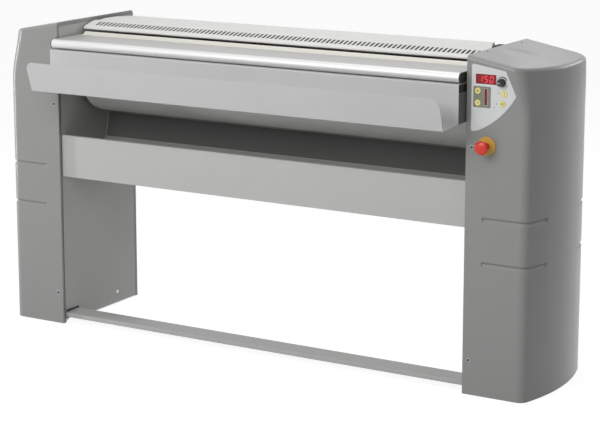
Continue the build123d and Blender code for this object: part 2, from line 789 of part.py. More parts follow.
bracket_face = front + roll_depth - gearbox_size[1] / 2
with BuildPart() as motor_bracket:
    with BuildSketch(Plane.XY.offset(gearbox_low)):
        near = plate_outer + bracket_sheet / 2
        web = bracket_face - bracket_sheet / 2
        sheet_line([(-near, web - bracket_foot), (-near, web), (-gearbox_near - gearbox_size[0] + 6, web)],
                   5, bracket_sheet)
    extrude(amount=gearbox_size[2])
save(motor_bracket, "motor_bracket")

# ---- heated chest --------------------------------------------------------------------------
def chest_plane(x):
    """Plane of the chest at rest, through its pivot; its sketches take the closed chest's places."""
    turn = -open_turn
    origin = Vector(x, front + chest_pivot_depth, chest_pivot_height)
    return Plane(origin=origin, x_dir=(0, cos(turn), sin(turn)), z_dir=(1, 0, 0))


to_roll = (roll_depth - chest_pivot_depth, roll_height - chest_pivot_height)


def on_arc(radius, angle):
    return (to_roll[0] + radius * cos(radians(angle)), to_roll[1] + radius * sin(radians(angle)))


def arc_band(near, far, low_angle, high_angle):
    """A band of the chest's section between two radii round the roll's axis."""
    with BuildLine() as band:
        CenterArc(to_roll, near, low_angle, high_angle - low_angle)
        CenterArc(to_roll, far, low_angle, high_angle - low_angle)
        Line(on_arc(near, low_angle), on_arc(far, low_angle))
        Line(on_arc(near, high_angle), on_arc(far, high_angle))
    make_face(band.line)


chest_middle = (chest_inside + chest_outside) / 2
stave_angle = (chest_high_angle - chest_low_angle) / chest_staves
seam_angles = [chest_low_angle + stave_angle * i for i in range(1, chest_staves)]
heater_places = [on_arc(chest_middle, chest_low_angle + stave_angle * (i + 0.5))
                 for i in range(0, chest_staves, 2)]

with BuildPart() as chest_plate:
    with BuildSketch(chest_plane(-chest_half)):
        arc_band(chest_inside, chest_outside, chest_low_angle, chest_high_angle)
        for angle in seam_angles:
            with Locations(on_arc(chest_middle, angle)):
                Rectangle(chest_thick + 1, seam, rotation=angle, mode=Mode.SUBTRACT)
        with Locations(*heater_places):
            Circle(heater_radius + run_fit, mode=Mode.SUBTRACT)
    extrude(amount=2 * chest_half)
save(chest_plate, "chest_plate")

with BuildPart() as heating_elements:
    with BuildSketch(chest_plane(-chest_half + 2)):
        with Locations(*heater_places):
            Circle(heater_radius)
    extrude(amount=2 * chest_half - 4)
save(heating_elements, "heating_elements")

jacket_half = roll_half - insulation_end_inset
jacket_ends = (chest_low_angle + insulation_low_inset, chest_high_angle - insulation_high_inset)
with BuildPart() as chest_insulation:
    with BuildSketch(chest_plane(-jacket_half)):
        arc_band(chest_outside, insulation_outside, *jacket_ends)
    extrude(amount=2 * jacket_half)
save(chest_insulation, "chest_insulation")

with BuildPart() as chest_jacket:
    with BuildSketch(chest_plane(-jacket_half)):
        arc_band(insulation_outside, insulation_outside + sheet, *jacket_ends)
    extrude(amount=2 * jacket_half)
save(chest_jacket, "chest_jacket")

with BuildPart() as right_arm:
    with BuildSketch(chest_plane(chest_half)):
        arc_band(chest_inside + 2, chest_outside, chest_low_angle, chest_high_angle)
        with BuildLine():
            Polyline((-arm_width / 2, 0), (arm_width / 2, 0), on_arc(insulation_outside, 8),
                     on_arc(chest_inside + 2, 2), on_arc(chest_inside + 2, -14), close=True)
        make_face()
        with BuildLine():
            Polyline((0, -horn_width / 2), (-chest_pin_arm, -horn_width / 2), (-chest_pin_arm, horn_width / 2),
                     (0, horn_width / 2 + 16), close=True)
        make_face()
        Circle(arm_width / 2)
        with Locations((-chest_pin_arm, 0)):
            Circle(horn_width / 2)
        Circle(pivot_radius + run_fit, mode=Mode.SUBTRACT)
    extrude(amount=chest_arm_thick)
save(both_sides(right_arm), "chest_arms")

link_inner = lever_outer + fit_gap
link_outer = link_inner + link_thick
with BuildPart() as right_link_pin:
    with BuildSketch(chest_plane(arm_outer)):
        with Locations((-chest_pin_arm, 0)):
            Circle(link_pin_radius)
    extrude(amount=link_outer + pin_end - arm_outer)
save(both_sides(right_link_pin), "chest_link_pins")

with BuildPart() as right_pivot:
    pivot_start = chest_half - pivot_nut_thick
    with BuildSketch(profile_plane(pivot_start)):
        with Locations((chest_pivot_depth, chest_pivot_height)):
            RegularPolygon(pivot_nut_radius, 6)
    extrude(amount=pivot_nut_thick - side_play)
    with BuildSketch(profile_plane(pivot_start)):
        with Locations((chest_pivot_depth, chest_pivot_height)):
            Circle(pivot_radius)
    extrude(amount=plate_outer + 10 - pivot_start)
    with BuildSketch(profile_plane(arm_outer + side_play)):
        with Locations((chest_pivot_depth, chest_pivot_height)):
            Circle(2 * pivot_radius)
    extrude(amount=inner - arm_outer - side_play)
save(both_sides(right_pivot), "chest_pivot_bolts")

with BuildPart() as thermostat:
    length, depth, height = thermostat_size
    with BuildSketch(chest_plane(thermostat_place)):
        with Locations(on_arc(insulation_outside + sheet + depth / 2, thermostat_angle)):
            Rectangle(depth, height, rotation=thermostat_angle)
    extrude(amount=length)
save(thermostat, "thermostat")

# ---- pedal ---------------------------------------------------------------------------------
with BuildPart() as pedal_bar:
    with BuildSketch(profile_plane(-pedal_half)):
        half = pedal_sheet / 2
        sheet_line([(pedal_front + half, pedal_low), (pedal_front + half, pedal_front_top - half),
                    (pedal_back - half, pedal_back_top - half), (pedal_back - half, pedal_low)],
                   2.5, pedal_sheet)
    extrude(amount=2 * pedal_half)
save(pedal_bar, "pedal_bar")

with BuildPart() as right_lever:
    with BuildSketch(profile_plane(lever_inner)):
        with BuildLine():
            Polyline((pedal_front, pedal_low), (pedal_pivot_depth, pedal_pivot_height - lever_eye),
                     (pedal_pivot_depth, pedal_pivot_height + lever_eye), (pedal_back, pedal_back_top),
                     (pedal_front, pedal_front_top), close=True)
        make_face()
        with Locations((pedal_pivot_depth, pedal_pivot_height)):
            Circle(lever_eye)
            Circle(pedal_pin_radius + run_fit, mode=Mode.SUBTRACT)
    extrude(amount=lever_thick)
save(both_sides(right_lever), "pedal_levers")

with BuildPart() as right_lower_pin:
    with BuildSketch(profile_plane(lever_outer)):
        with Locations(link_lower):
            Circle(lower_pin_radius)
    extrude(amount=link_thick + fit_gap + pin_end)
save(both_sides(right_lower_pin), "pedal_link_pins")

with BuildPart() as right_pedal_bolt:
    with BuildSketch(profile_plane(inner)):
        with Locations((pedal_pivot_depth, pedal_pivot_height)):
            Circle(pedal_pin_radius)
    extrude(amount=lever_outer + pedal_pin_radius - inner)
    with BuildSketch(profile_plane(plate_outer)):
        with Locations((pedal_pivot_depth, pedal_pivot_height)):
            RegularPolygon(2 * pedal_pin_radius, 6)
    extrude(amount=lever_inner - plate_outer - side_play)
save(both_sides(right_pedal_bolt), "pedal_pivot_bolts")

link_run = (link_upper[0] - link_lower[0], link_upper[1] - link_lower[1])
link_length = hypot(*link_run)
link_lean = degrees(atan2(link_run[1], link_run[0]))
with BuildPart() as right_link:
    with BuildSketch(profile_plane(link_inner)):
        with Locations(((link_lower[0] + link_upper[0]) / 2, (link_lower[1] + link_upper[1]) / 2)):
            SlotCenterToCenter(link_length, link_width, rotation=link_lean)
        with Locations(link_lower):
            Circle(lower_pin_radius + run_fit, mode=Mode.SUBTRACT)
        with Locations(link_upper):
            Circle(link_pin_radius + open_pin_gap, mode=Mode.SUBTRACT)
    extrude(amount=link_thick)
save(both_sides(right_link), "link_rods")

lever_top = pedal_back_top + (pedal_pivot_height + lever_eye - pedal_back_top) * (
    (spring_depth - pedal_back) / (pedal_pivot_depth - pedal_back))
spring_x = lever_inner + lever_thick / 2
spring_top = lever_top + spring_seat + spring_length
with BuildPart() as right_spring:
    with BuildSketch(Plane.XY.offset(spring_top - spring_length)):
        with Locations((spring_x, front + spring_depth)):
            Circle(spring_radius)
            Circle(spring_radius - spring_wall, mode=Mode.SUBTRACT)
    extrude(amount=spring_length)
save(both_sides(right_spring), "pedal_springs")

with BuildPart() as right_anchor:
    with BuildSketch(profile_plane(plate_outer)):
        with Locations((spring_depth, spring_top + anchor_size[1] / 2)):
            Rectangle(*anchor_size)
    extrude(amount=spring_x + spring_radius - plate_outer)
save(both_sides(right_anchor), "spring_anchors")

# ---- hood ----------------------------------------------------------------------------------
hood_rear_depth = hood_hinge_depth + hood_behind_hinge
hood_line = [(hood_lip_depth + hood_hem, hood_lip_height - 4), (hood_lip_depth + 2, hood_lip_height - 1),
             (hood_lip_depth + 1, hood_lip_height + 5), (slot_front - 2, hood_top - hood_ramp_drop),
             (slot_back + 6, hood_top - hood_slot_drop), (hood_crown_depth, hood_top),
             (hood_fall_depth, hood_top - hood_fall_drop), (hood_rear_depth, hood_top - hood_rear_drop),
             (hood_rear_depth + 4, hood_top - hood_rear_drop - hood_rear_skirt)]
hood_slope = (hood_rear_drop - hood_fall_drop) / (hood_rear_depth - hood_fall_depth)


def under_hood(depth):
    """Height just below the hood's falling rear part."""
    return hood_top - hood_fall_drop - (depth - hood_fall_depth) * hood_slope - sheet / 2 - seam


with BuildPart() as hood_cover:
    with BuildSketch(profile_plane(-hood_half_front)):
        sheet_line(hood_line, 2, sheet)
    extrude(amount=2 * hood_half_front)
    with BuildSketch(Plane.XY.offset(hood_hinge_height - hood_rear_skirt)):
        with BuildLine():
            step, cut = front + hood_step_depth, front + hood_cut_depth
            Polyline((hood_half_rear, step), (hood_half_front + 5, step), (hood_half_front + 5, back),
                     (hood_cut_half - 20, back), (hood_cut_half, front + hood_rear_depth + 2),
                     (hood_cut_start, cut), (hood_half_rear, cut), close=True)
        make_face()
        with Locations((-hood_half_rear, step)):
            Rectangle(2 * (hood_half_front - hood_half_rear), back - step, align=(Align.MAX, Align.MIN))
    extrude(amount=2 * hood_lip_drop, mode=Mode.SUBTRACT)
    with BuildSketch(Plane.XY.offset(hood_lip_height)):
        with Locations((0, front + (slot_front + slot_back) / 2)):
            with GridLocations(slot_pitch, 1, slot_count, 1):
                Rectangle(slot_width, slot_back - slot_front)
    extrude(amount=2 * hood_lip_drop, mode=Mode.SUBTRACT)
    for x in hinge_places:
        with BuildSketch(profile_plane(x - hinge_width / 2)):
            ahead, behind = hood_hinge_depth - hood_behind_hinge, hood_rear_depth - 1
            with BuildLine():
                Polyline((ahead, hood_hinge_height - hinge_edge), (behind, hood_hinge_height - hinge_edge),
                         (behind, under_hood(behind)), (ahead, under_hood(ahead)), close=True)
            make_face()
            with Locations((hood_hinge_depth, hood_hinge_height)):
                Circle(hinge_rod_radius + run_fit, mode=Mode.SUBTRACT)
        extrude(amount=hinge_width)
save(hood_cover, "hood_cover")

with BuildPart() as hinge_rod:
    with BuildSketch(profile_plane(-plate_outer - 6)):
        with Locations((hood_hinge_depth, hood_hinge_height)):
            Circle(hinge_rod_radius)
    extrude(amount=2 * (plate_outer + 6))
save(hinge_rod, "hood_hinge_rod")

with BuildPart() as hood_buffer:
    with BuildSketch(profile_plane(hood_half_rear + swing_gap)):
        with Locations((buffer_depth, column_height - buffer_size[1] / 2)):
            RectangleRounded(*buffer_size, 5)
    extrude(amount=inner - hood_half_rear - swing_gap)
save(hood_buffer, "hood_side_buffer")

with BuildPart() as guard_switch:
    with BuildSketch(profile_plane(arm_outer + swing_gap)):
        with Locations((hood_hinge_depth - guard_ahead, hood_top - guard_drop)):
            RectangleRounded(*guard_size, 2)
    extrude(amount=inner - arm_outer - swing_gap)
save(guard_switch, "guard_switch")

# ---- feed table ----------------------------------------------------------------------------
nose_radius = nose_height / 2
with BuildPart() as feed_table:
    with BuildSketch(profile_plane(-table_half)):
        half = table_sheet / 2
        with BuildLine():
            top_line = table_top - half
            low_line = table_top - nose_height + half
            Line((table_back, top_line), (-nose_reach + nose_radius, top_line))
            CenterArc((-nose_reach + nose_radius, table_top - nose_radius), nose_radius - half, 90, 180)
            Line((-nose_reach + nose_radius, low_line), (nose_back, low_line))
        trace(line_width=table_sheet)
    extrude(amount=2 * table_half)
save(feed_table, "feed_table")

with BuildPart() as right_cap:
    with BuildSketch(profile_plane(table_half)):
        with BuildLine():
            Line((nose_back, table_top), (-nose_reach + nose_radius, table_top))
            CenterArc((-nose_reach + nose_radius, table_top - nose_radius), nose_radius, 90, 180)
            Polyline((-nose_reach + nose_radius, table_top - nose_height),
                     (nose_back, table_top - nose_height), (nose_back, table_top))
        make_face()
    extrude(amount=end_cap)
save(both_sides(right_cap), "feed_table_end_caps")

with BuildPart() as table_brackets:
    for x in table_bracket_places:
        with BuildSketch(profile_plane(x - table_bracket_width / 2)):
            foot = front_tube_height + tube_side + table_sheet / 2
            head = table_top - 1.5 * table_sheet
            web = front_tube_depth + 2 + table_bracket_foot
            sheet_line([(web - table_bracket_foot, foot), (web, foot), (web, head),
                        (web + table_bracket_arm, head)], 3.5, table_sheet)
        extrude(amount=table_bracket_width)
save(table_brackets, "table_brackets")

# ---- laundry tray --------------------------------------------------------------------------
block_length, block_height = tray_block
block_top = tray_top - sheet
block_back = front_tube_depth - sheet - 3
with BuildPart() as laundry_tray:
    with BuildSketch(profile_plane(-tray_half)):
        half = sheet / 2
        lip_lean = atan2(tray_reach - tray_bottom_reach, tray_lip_top - tray_lip_bottom)
        sheet_line([(-tray_reach + half * cos(lip_lean), tray_lip_top), (-tray_bottom_reach, tray_lip_bottom),
                    (-tray_wall_reach, tray_floor_back), (-tray_wall_reach, tray_top - half),
                    (front_tube_depth - half, tray_top - half), (front_tube_depth - half, front_tube_height)],
                   3, sheet)
    extrude(amount=2 * tray_half)
    with BuildSketch(front_plane(-tray_reach - 5)):
        for side in (-1, 1):
            with Locations((side * (tray_half - tray_corner / 2), tray_lip_top + 1 - tray_corner / 2)):
                Rectangle(tray_corner + 0.01, tray_corner + 4)
            with Locations((side * (tray_half - tray_corner), tray_lip_top + 1 - tray_corner)):
                Circle(tray_corner, mode=Mode.SUBTRACT)
    extrude(amount=-(tray_reach - tray_bottom_reach + 8), mode=Mode.SUBTRACT)
    flange_front = half + seam - tray_wall_reach
    flange_top = block_top - block_height - seam
    for x in (tray_half - sheet, -tray_half):
        with BuildSketch(profile_plane(x)):
            with Locations((flange_front, tray_floor_back)):
                Rectangle(block_back - flange_front, flange_top - tray_floor_back, align=Align.MIN)
        extrude(amount=sheet)
save(laundry_tray, "laundry_tray")

with BuildPart() as right_tray_bracket:
    block_middle = block_top - block_height / 2
    with BuildSketch(profile_plane(tray_half - tray_block_thick)):
        with Locations((block_back - block_length / 2, block_middle)):
            Rectangle(block_length, block_height)
    extrude(amount=tray_block_thick)
    fillet(right_tray_bracket.edges().filter_by(Axis.X).sort_by(Axis.Y)[:2], 4)
    with BuildSketch(profile_plane(tray_half)):
        with Locations((block_back, block_middle)):
            Rectangle(14, block_height - 4, align=(Align.MAX, Align.CENTER))
    extrude(amount=inner - tray_half)
save(both_sides(right_tray_bracket), "tray_brackets")

# ---- controls ------------------------------------------------------------------------------
with BuildPart() as control_panel:
    with BuildSketch(front_plane(0)):
        foot, near_foot = on_column(panel_foot), on_column((panel_near, panel_low))
        tip = on_column(panel_tip)
        with BuildLine():
            Polyline(foot, near_foot, on_column((panel_near, panel_high)), on_column(panel_shoulder), tip)
            ThreePointArc(tip, on_column(panel_belly), foot)
        outline = make_face()
        fillet([corner for corner in outline.vertices() if corner.X != foot[0]], panel_corner)
        with Locations(window_middle):
            Rectangle(*window_size, mode=Mode.SUBTRACT)
        with Locations(bar_middle):
            Rectangle(*bar_size, mode=Mode.SUBTRACT)
        with Locations(*button_middles.values()):
            Circle(button_radius + 0.3, mode=Mode.SUBTRACT)
        with Locations(knob_middle):
            Circle(knob_shaft_radius + run_fit, mode=Mode.SUBTRACT)
    extrude(amount=panel_thick)
save(control_panel, "control_panel")

with BuildPart() as display_window:
    with BuildSketch(front_plane(cover_wall)):
        with Locations(window_middle):
            Rectangle(window_size[0] - 0.4, window_size[1] - 0.4)
    extrude(amount=cover_wall + panel_thick - 0.4)
save(display_window, "display_window")

with BuildPart() as level_bar:
    with BuildSketch(front_plane(cover_wall)):
        with Locations(bar_middle):
            Rectangle(bar_size[0] - 0.4, bar_size[1] - 0.4)
    extrude(amount=cover_wall + panel_thick - 0.4)
save(level_bar, "level_bar")

board_depth = button_stem + button_travel + 0.6
board_middle = on_column(board_place)
with BuildPart() as control_board:
    with BuildSketch(front_plane(board_depth + board_thick)):
        with Locations(board_middle):
            Rectangle(*board_size)
    extrude(amount=board_thick)
    with BuildSketch(front_plane(board_depth)):
        with Locations(board_middle):
            with GridLocations(board_size[0] - 4 * board_foot_radius, board_size[1] - 4 * board_foot_radius, 2, 2):
                Circle(board_foot_radius)
    extrude(amount=board_depth - cover_wall)
save(control_board, "control_board")

for name, place in button_middles.items():
    with BuildPart() as button:
        with BuildSketch(front_plane(1)):
            with Locations(place):
                Circle(button_radius)
        extrude(amount=panel_thick + button_proud + 1)
        fillet(button.faces().sort_by(Axis.Y)[0].edges(), 1)
        with BuildSketch(front_plane(button_stem)):
            with Locations(place):
                Circle(button_stem_radius)
        extrude(amount=button_stem)
    save(button, name)

with BuildPart() as speed_knob:
    knob_plane = Plane(origin=(knob_middle[0], front - panel_thick - 0.5, knob_middle[1]),
                       x_dir=(1, 0, 0), z_dir=(0, -1, 0))
    with BuildSketch(knob_plane):
        Circle(knob_radius)
    extrude(amount=knob_height - 1, taper=6)
    fillet(speed_knob.faces().sort_by(Axis.Y)[0].edges(), 1.5)
    with BuildSketch(knob_plane):
        Circle(knob_shaft_radius)
    extrude(amount=-(board_depth + 0.5))
save(speed_knob, "speed_knob")


def estop_disc(near, far, radius, hole, edge):
    """A round piece on the stop button's axis, between two distances in front of the column."""
    with BuildPart() as disc:
        with BuildSketch(front_plane(-near)):
            with Locations(estop_middle):
                Circle(radius)
                if hole:
                    Circle(hole, mode=Mode.SUBTRACT)
        extrude(amount=far - near)
        if edge:
            outer = disc.edges().filter_by(GeomType.CIRCLE).sort_by(Axis.Y).group_by(SortBy.RADIUS)[-1]
            fillet(outer.sort_by(Axis.Y)[0], edge)
    return disc


stem_hole = estop_stem_radius + run_fit
save(estop_disc(0, estop_ring_thick, estop_ring_radius, stem_hole, 1.5), "estop_ring")
save(estop_disc(-34, estop_reach - estop_head_thick + 6, estop_stem_radius, 0, 0), "estop_stem")

with BuildPart() as estop_head:
    head_back = estop_reach - estop_head_thick
    rim = head_back + 9
    rise = estop_reach - rim
    dome_radius = (estop_head_radius ** 2 + rise ** 2) / (2 * rise)
    dome_middle = (estop_head_radius / 2, dome_radius - estop_reach - sqrt(
        dome_radius ** 2 - estop_head_radius ** 2 / 4))
    head_plane = Plane(origin=(estop_middle[0], front, estop_middle[1]), x_dir=(1, 0, 0), z_dir=(0, 0, 1))
    with BuildSketch(head_plane):
        with BuildLine():
            stem = stem_hole
            Polyline((0, -head_back - 6.4), (stem, -head_back - 6.4), (stem, -head_back), (14, -head_back),
                     (estop_head_radius, -head_back - 5), (estop_head_radius, -rim))
            ThreePointArc((estop_head_radius, -rim), dome_middle, (0, -estop_reach))
            Line((0, -estop_reach), (0, -head_back - 6.4))
        make_face()
    revolve(axis=Axis((estop_middle[0], front, estop_middle[1]), (0, 1, 0)))
save(estop_head, "estop_head")

with BuildPart() as estop_block:
    block_width, block_height, block_depth = contact_block
    with BuildSketch(front_plane(block_depth)):
        with Locations(estop_middle):
            Rectangle(block_width, block_height)
    extrude(amount=block_depth - cover_wall)
    with BuildSketch(front_plane(block_depth)):
        with Locations(estop_middle):
            Circle(stem_hole)
    extrude(amount=block_depth, mode=Mode.SUBTRACT)
save(estop_block, "estop_contact_block")

# ---- electrics -----------------------------------------------------------------------------
with BuildPart() as inverter:
    with BuildSketch(profile_plane(plate_outer)):
        with Locations(inverter_place):
            RectangleRounded(inverter_size[1], inverter_size[2], 4)
    extrude(amount=inverter_size[0])
save(inverter, "inverter_box")

with BuildPart() as cable_gland:
    with BuildSketch(front_plane(column_depth)):
        with Locations(gland_middle):
            RegularPolygon(gland_radius + 4, 6)
    extrude(amount=-6)
    with BuildSketch(front_plane(column_depth + gland_reach)):
        with Locations(gland_middle):
            Circle(gland_radius - 1)
    extrude(amount=gland_reach)
    with BuildSketch(front_plane(column_depth)):
        with Locations(gland_middle):
            Circle(gland_radius)
    extrude(amount=gland_inside)
    with BuildSketch(front_plane(column_depth + gland_reach)):
        with Locations(gland_middle):
            Circle(gland_bore)
    extrude(amount=gland_reach + gland_inside, mode=Mode.SUBTRACT)
save(cable_gland, "cable_gland")

# ---- screws --------------------------------------------------------------------------------
with BuildPart() as cover_screws:
    for depth, turn in ((0, 1), (column_depth, -1)):
        for height in cover_screw_heights:
            centre = (inner + cover_screw_inset, height)
            with BuildSketch(front_plane(depth)):
                with Locations(centre):
                    Circle(screw_head_radius)
            extrude(amount=turn * screw_head_thick, taper=20)
            with BuildSketch(front_plane(depth)):
                with Locations(centre):
                    Circle(screw_radius)
            extrude(amount=-turn * screw_length)
save(both_sides(cover_screws), "cover_screws")

print("motor axis height", round(motor_height, 3))
print("top of the pedal springs", round(spring_top, 3))
print("pedal turns per chest turn", round(pedal_press_angle / chest_open_angle, 4))
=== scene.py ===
"""Flatwork ironer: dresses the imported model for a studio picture.

The CAD nodes keep their shapes and get their finishes here. What a rigid node can't hold,
such as the cloth on the roll, the printed signs, the lit figures and the screw drives, is
added as pieces that ride on the same bodies. Lengths are in metres unless MM follows them.
"""

import json
import math

import bmesh
import bpy
from bpy.props import FloatProperty, FloatVectorProperty, PointerProperty
from bpy.types import Operator, Panel, PropertyGroup
from mathutils import Matrix, Vector, noise


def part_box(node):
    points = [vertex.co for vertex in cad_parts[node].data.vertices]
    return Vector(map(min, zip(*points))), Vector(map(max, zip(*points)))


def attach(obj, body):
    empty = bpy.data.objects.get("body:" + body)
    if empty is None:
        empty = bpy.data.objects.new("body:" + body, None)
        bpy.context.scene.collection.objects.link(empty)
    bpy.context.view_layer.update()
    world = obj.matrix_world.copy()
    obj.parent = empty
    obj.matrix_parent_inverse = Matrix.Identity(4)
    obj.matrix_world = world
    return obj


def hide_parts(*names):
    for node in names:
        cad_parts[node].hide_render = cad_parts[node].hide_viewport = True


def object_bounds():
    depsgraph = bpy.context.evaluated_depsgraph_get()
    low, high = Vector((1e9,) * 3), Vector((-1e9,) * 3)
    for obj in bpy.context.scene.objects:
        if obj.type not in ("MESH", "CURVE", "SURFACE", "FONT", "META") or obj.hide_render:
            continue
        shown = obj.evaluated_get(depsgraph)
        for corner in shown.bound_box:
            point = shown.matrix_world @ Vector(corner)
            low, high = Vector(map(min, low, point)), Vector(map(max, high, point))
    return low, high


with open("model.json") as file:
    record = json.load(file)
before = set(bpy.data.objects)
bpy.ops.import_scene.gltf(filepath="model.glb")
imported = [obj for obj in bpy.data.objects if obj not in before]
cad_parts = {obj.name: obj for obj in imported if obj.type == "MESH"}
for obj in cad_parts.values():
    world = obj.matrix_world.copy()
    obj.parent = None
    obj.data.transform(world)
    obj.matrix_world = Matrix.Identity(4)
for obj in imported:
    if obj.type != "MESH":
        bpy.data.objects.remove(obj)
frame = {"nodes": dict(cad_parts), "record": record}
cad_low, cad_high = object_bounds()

bl_info = {
    "name": "Flatwork Ironer",
    "version": (1, 0, 0),
    "blender": (4, 5, 0),
    "location": "3D View > Sidebar > Ironer",
    "description": "Finishes and small detail for a free-standing flatwork ironer",
    "category": "Object",
}

MM = 0.001
nodes = frame["nodes"]
slot_of = {part["node"]: part["material_slot"] for part in frame["record"]["subparts"]}

COLUMN_FRONT, COLUMN_BACK = (corner[1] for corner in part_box("right_column_cover"))
COLUMN_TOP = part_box("right_column_cover")[1][2]
INNER_WALL = 720 * MM        # from the middle to the columns' inner faces


def linear(hex_colour):
    """Linear RGB of an sRGB hex value."""
    values = [int(hex_colour[i:i + 2], 16) / 255 for i in (0, 2, 4)]
    return tuple(v / 12.92 if v <= 0.04045 else ((v + 0.055) / 1.055) ** 2.4 for v in values)


# ---- sizes and colours ---------------------------------------------------------------------
def colour_property(name, hex_colour, description):
    return FloatVectorProperty(name=name, description=description, subtype="COLOR", size=3,
                               min=0, max=1, default=linear(hex_colour))


def length_property(name, millimetres, description):
    return FloatProperty(name=name, description=description, subtype="DISTANCE", unit="LENGTH",
                         min=0, default=millimetres * MM)


class IronerColours(PropertyGroup):
    """Colours of the ironer's finishes."""

    column: colour_property("Column", "929391", "Grey of the moulded column covers")
    plate: colour_property("Side plate", "B2B2B0", "Grey paint of the side plates")
    rear: colour_property("Rear panel", "8E8F8D", "Grey paint of the rear panel")
    tray: colour_property("Tray", "C4C4C4", "Light grey paint of the laundry tray")
    trough: colour_property("Trough", "B7B8B5", "Light grey paint of the collecting trough")
    hood: colour_property("Hood", "E1E1DE", "Pale paint of the hood")
    guard: colour_property("Finger guard", "DEDCD2", "Pale cream paint of the finger guard")
    table: colour_property("Feed table", "B9B9B8", "Anodised aluminium of the feed table")
    # The nose colour is lighter than the table's to paint the highlight along its rounded edge.
    nose: colour_property("Table nose", "E4E4E3", "Aluminium that laundry has rubbed bright")
    cloth: colour_property("Roll cloth", "E6E6E2", "Pale grey cloth on the roll")
    pedal: colour_property("Foot bar", "AFAFAE", "Light grey paint of the foot bar")
    button: colour_property("Button", "E6D75C", "Pale yellow of the push buttons")
    ring: colour_property("Stop ring", "CFA548", "Dull yellow of the ring behind the stop button")
    stop: colour_property("Stop head", "DE3322", "Red of the stop button's head")
    film: colour_property("Panel film", "DADCDC", "Silver grey film of the control panel")
    field: colour_property("Panel field", "84857A", "Darker field printed round the level buttons")
    window: colour_property("Display", "8C1020", "Red window of the display")


class IronerSizes(PropertyGroup):
    """Sizes of the ironer's surface detail."""

    thread: length_property("Thread spacing", 3.0, "Spacing of the roll cloth's weave")
    peel: length_property("Paint texture", 1.6, "Size of the fine waves in painted skins")
    edge: length_property("Edge rounding", 0.8, "Rounding that the light shows on edges")
    ink: length_property("Ink thickness", 0.06, "Thickness of printed marks")
    figure: length_property("Figure height", 17.0, "Height of the display's figures")
    lap: length_property("Cloth lap", 1.0, "Step where the cloth's end laps over itself")


# ---- materials -----------------------------------------------------------------------------
WAVE_PERIOD = 0.314          # a wave texture of scale 1 repeats at this distance
ALONG = (0.02, 1, 1)         # draws a pattern out to lines along the machine
LENGTHWISE = (0.3, 1, 1)     # draws it out a little along the roll
UPRIGHT = (1, 1, 0.16)       # draws it out from foot to top
UNDIRECTED = (1, 1, 1)       # leaves it as it is

# Real sizes of the broad patterns: cloudy paint, the covers' sway and pressed marks in cloth.
CLOUD, SWELL, PRESSED = 111 * MM, 71.4 * MM, 45.5 * MM
# Real specks, grain, fibres and glow are finer than a pixel, so they are drawn this coarse to show.
SPECK, GRAIN, FIBRE, BLUR = 2.4 * MM, 0.8 * MM, 2.5 * MM, 3.3 * MM


def add_node(tree, kind, settings=None, links=None):
    """Adds a node, sets its properties, and sets or wires its inputs by name or number."""
    node = tree.nodes.new(kind)
    for key, value in (settings or {}).items():
        setattr(node, key, value)
    for key, value in (links or {}).items():
        if isinstance(value, bpy.types.NodeSocket):
            tree.links.new(value, node.inputs[key])
        else:
            node.inputs[key].default_value = value
    return node


def start_material(name):
    material = bpy.data.materials.new(name)
    material.use_nodes = True
    tree = material.node_tree
    return material, tree, tree.nodes["Principled BSDF"]


def shade(colour, amount=1):
    """A colour made darker or lighter, as a node takes it."""
    return (*(min(1.0, c * amount) for c in colour[:3]), 1.0)


def surface(tree, shader, colour, tone, spread, roughness, relief, round_edges=False):
    """Wires what all finishes share, and returns the sockets of its colour and its normals.

    Tone is a pattern that goes between two shades of the colour, roughness is a number or
    (pattern, low, high), and relief is (pattern, strength, depth). Round edges bend the normals
    round each edge, as paint and a folded sheet do.
    """
    mixed = add_node(tree, "ShaderNodeMix", {"data_type": "RGBA"},
                     {"Factor": tone, 6: shade(colour, spread[0]), 7: shade(colour, spread[1])})
    tree.links.new(mixed.outputs[2], shader.inputs["Base Color"])
    if isinstance(roughness, tuple):
        pattern, low, high = roughness
        ranged = add_node(tree, "ShaderNodeMapRange", links={"Value": pattern, "To Min": low,
                                                             "To Max": high})
        tree.links.new(ranged.outputs["Result"], shader.inputs["Roughness"])
    else:
        shader.inputs["Roughness"].default_value = roughness
    pattern, strength, depth = relief
    bump = add_node(tree, "ShaderNodeBump", links={"Height": pattern, "Strength": strength,
                                                   "Distance": depth})
    if round_edges:
        edge = add_node(tree, "ShaderNodeBevel", {"samples": 4},
                        {"Radius": bpy.context.scene.ironer_sizes.edge})
        tree.links.new(edge.outputs["Normal"], bump.inputs["Normal"])
    tree.links.new(bump.outputs["Normal"], shader.inputs["Normal"])
    return mixed.outputs[2], bump.outputs["Normal"]


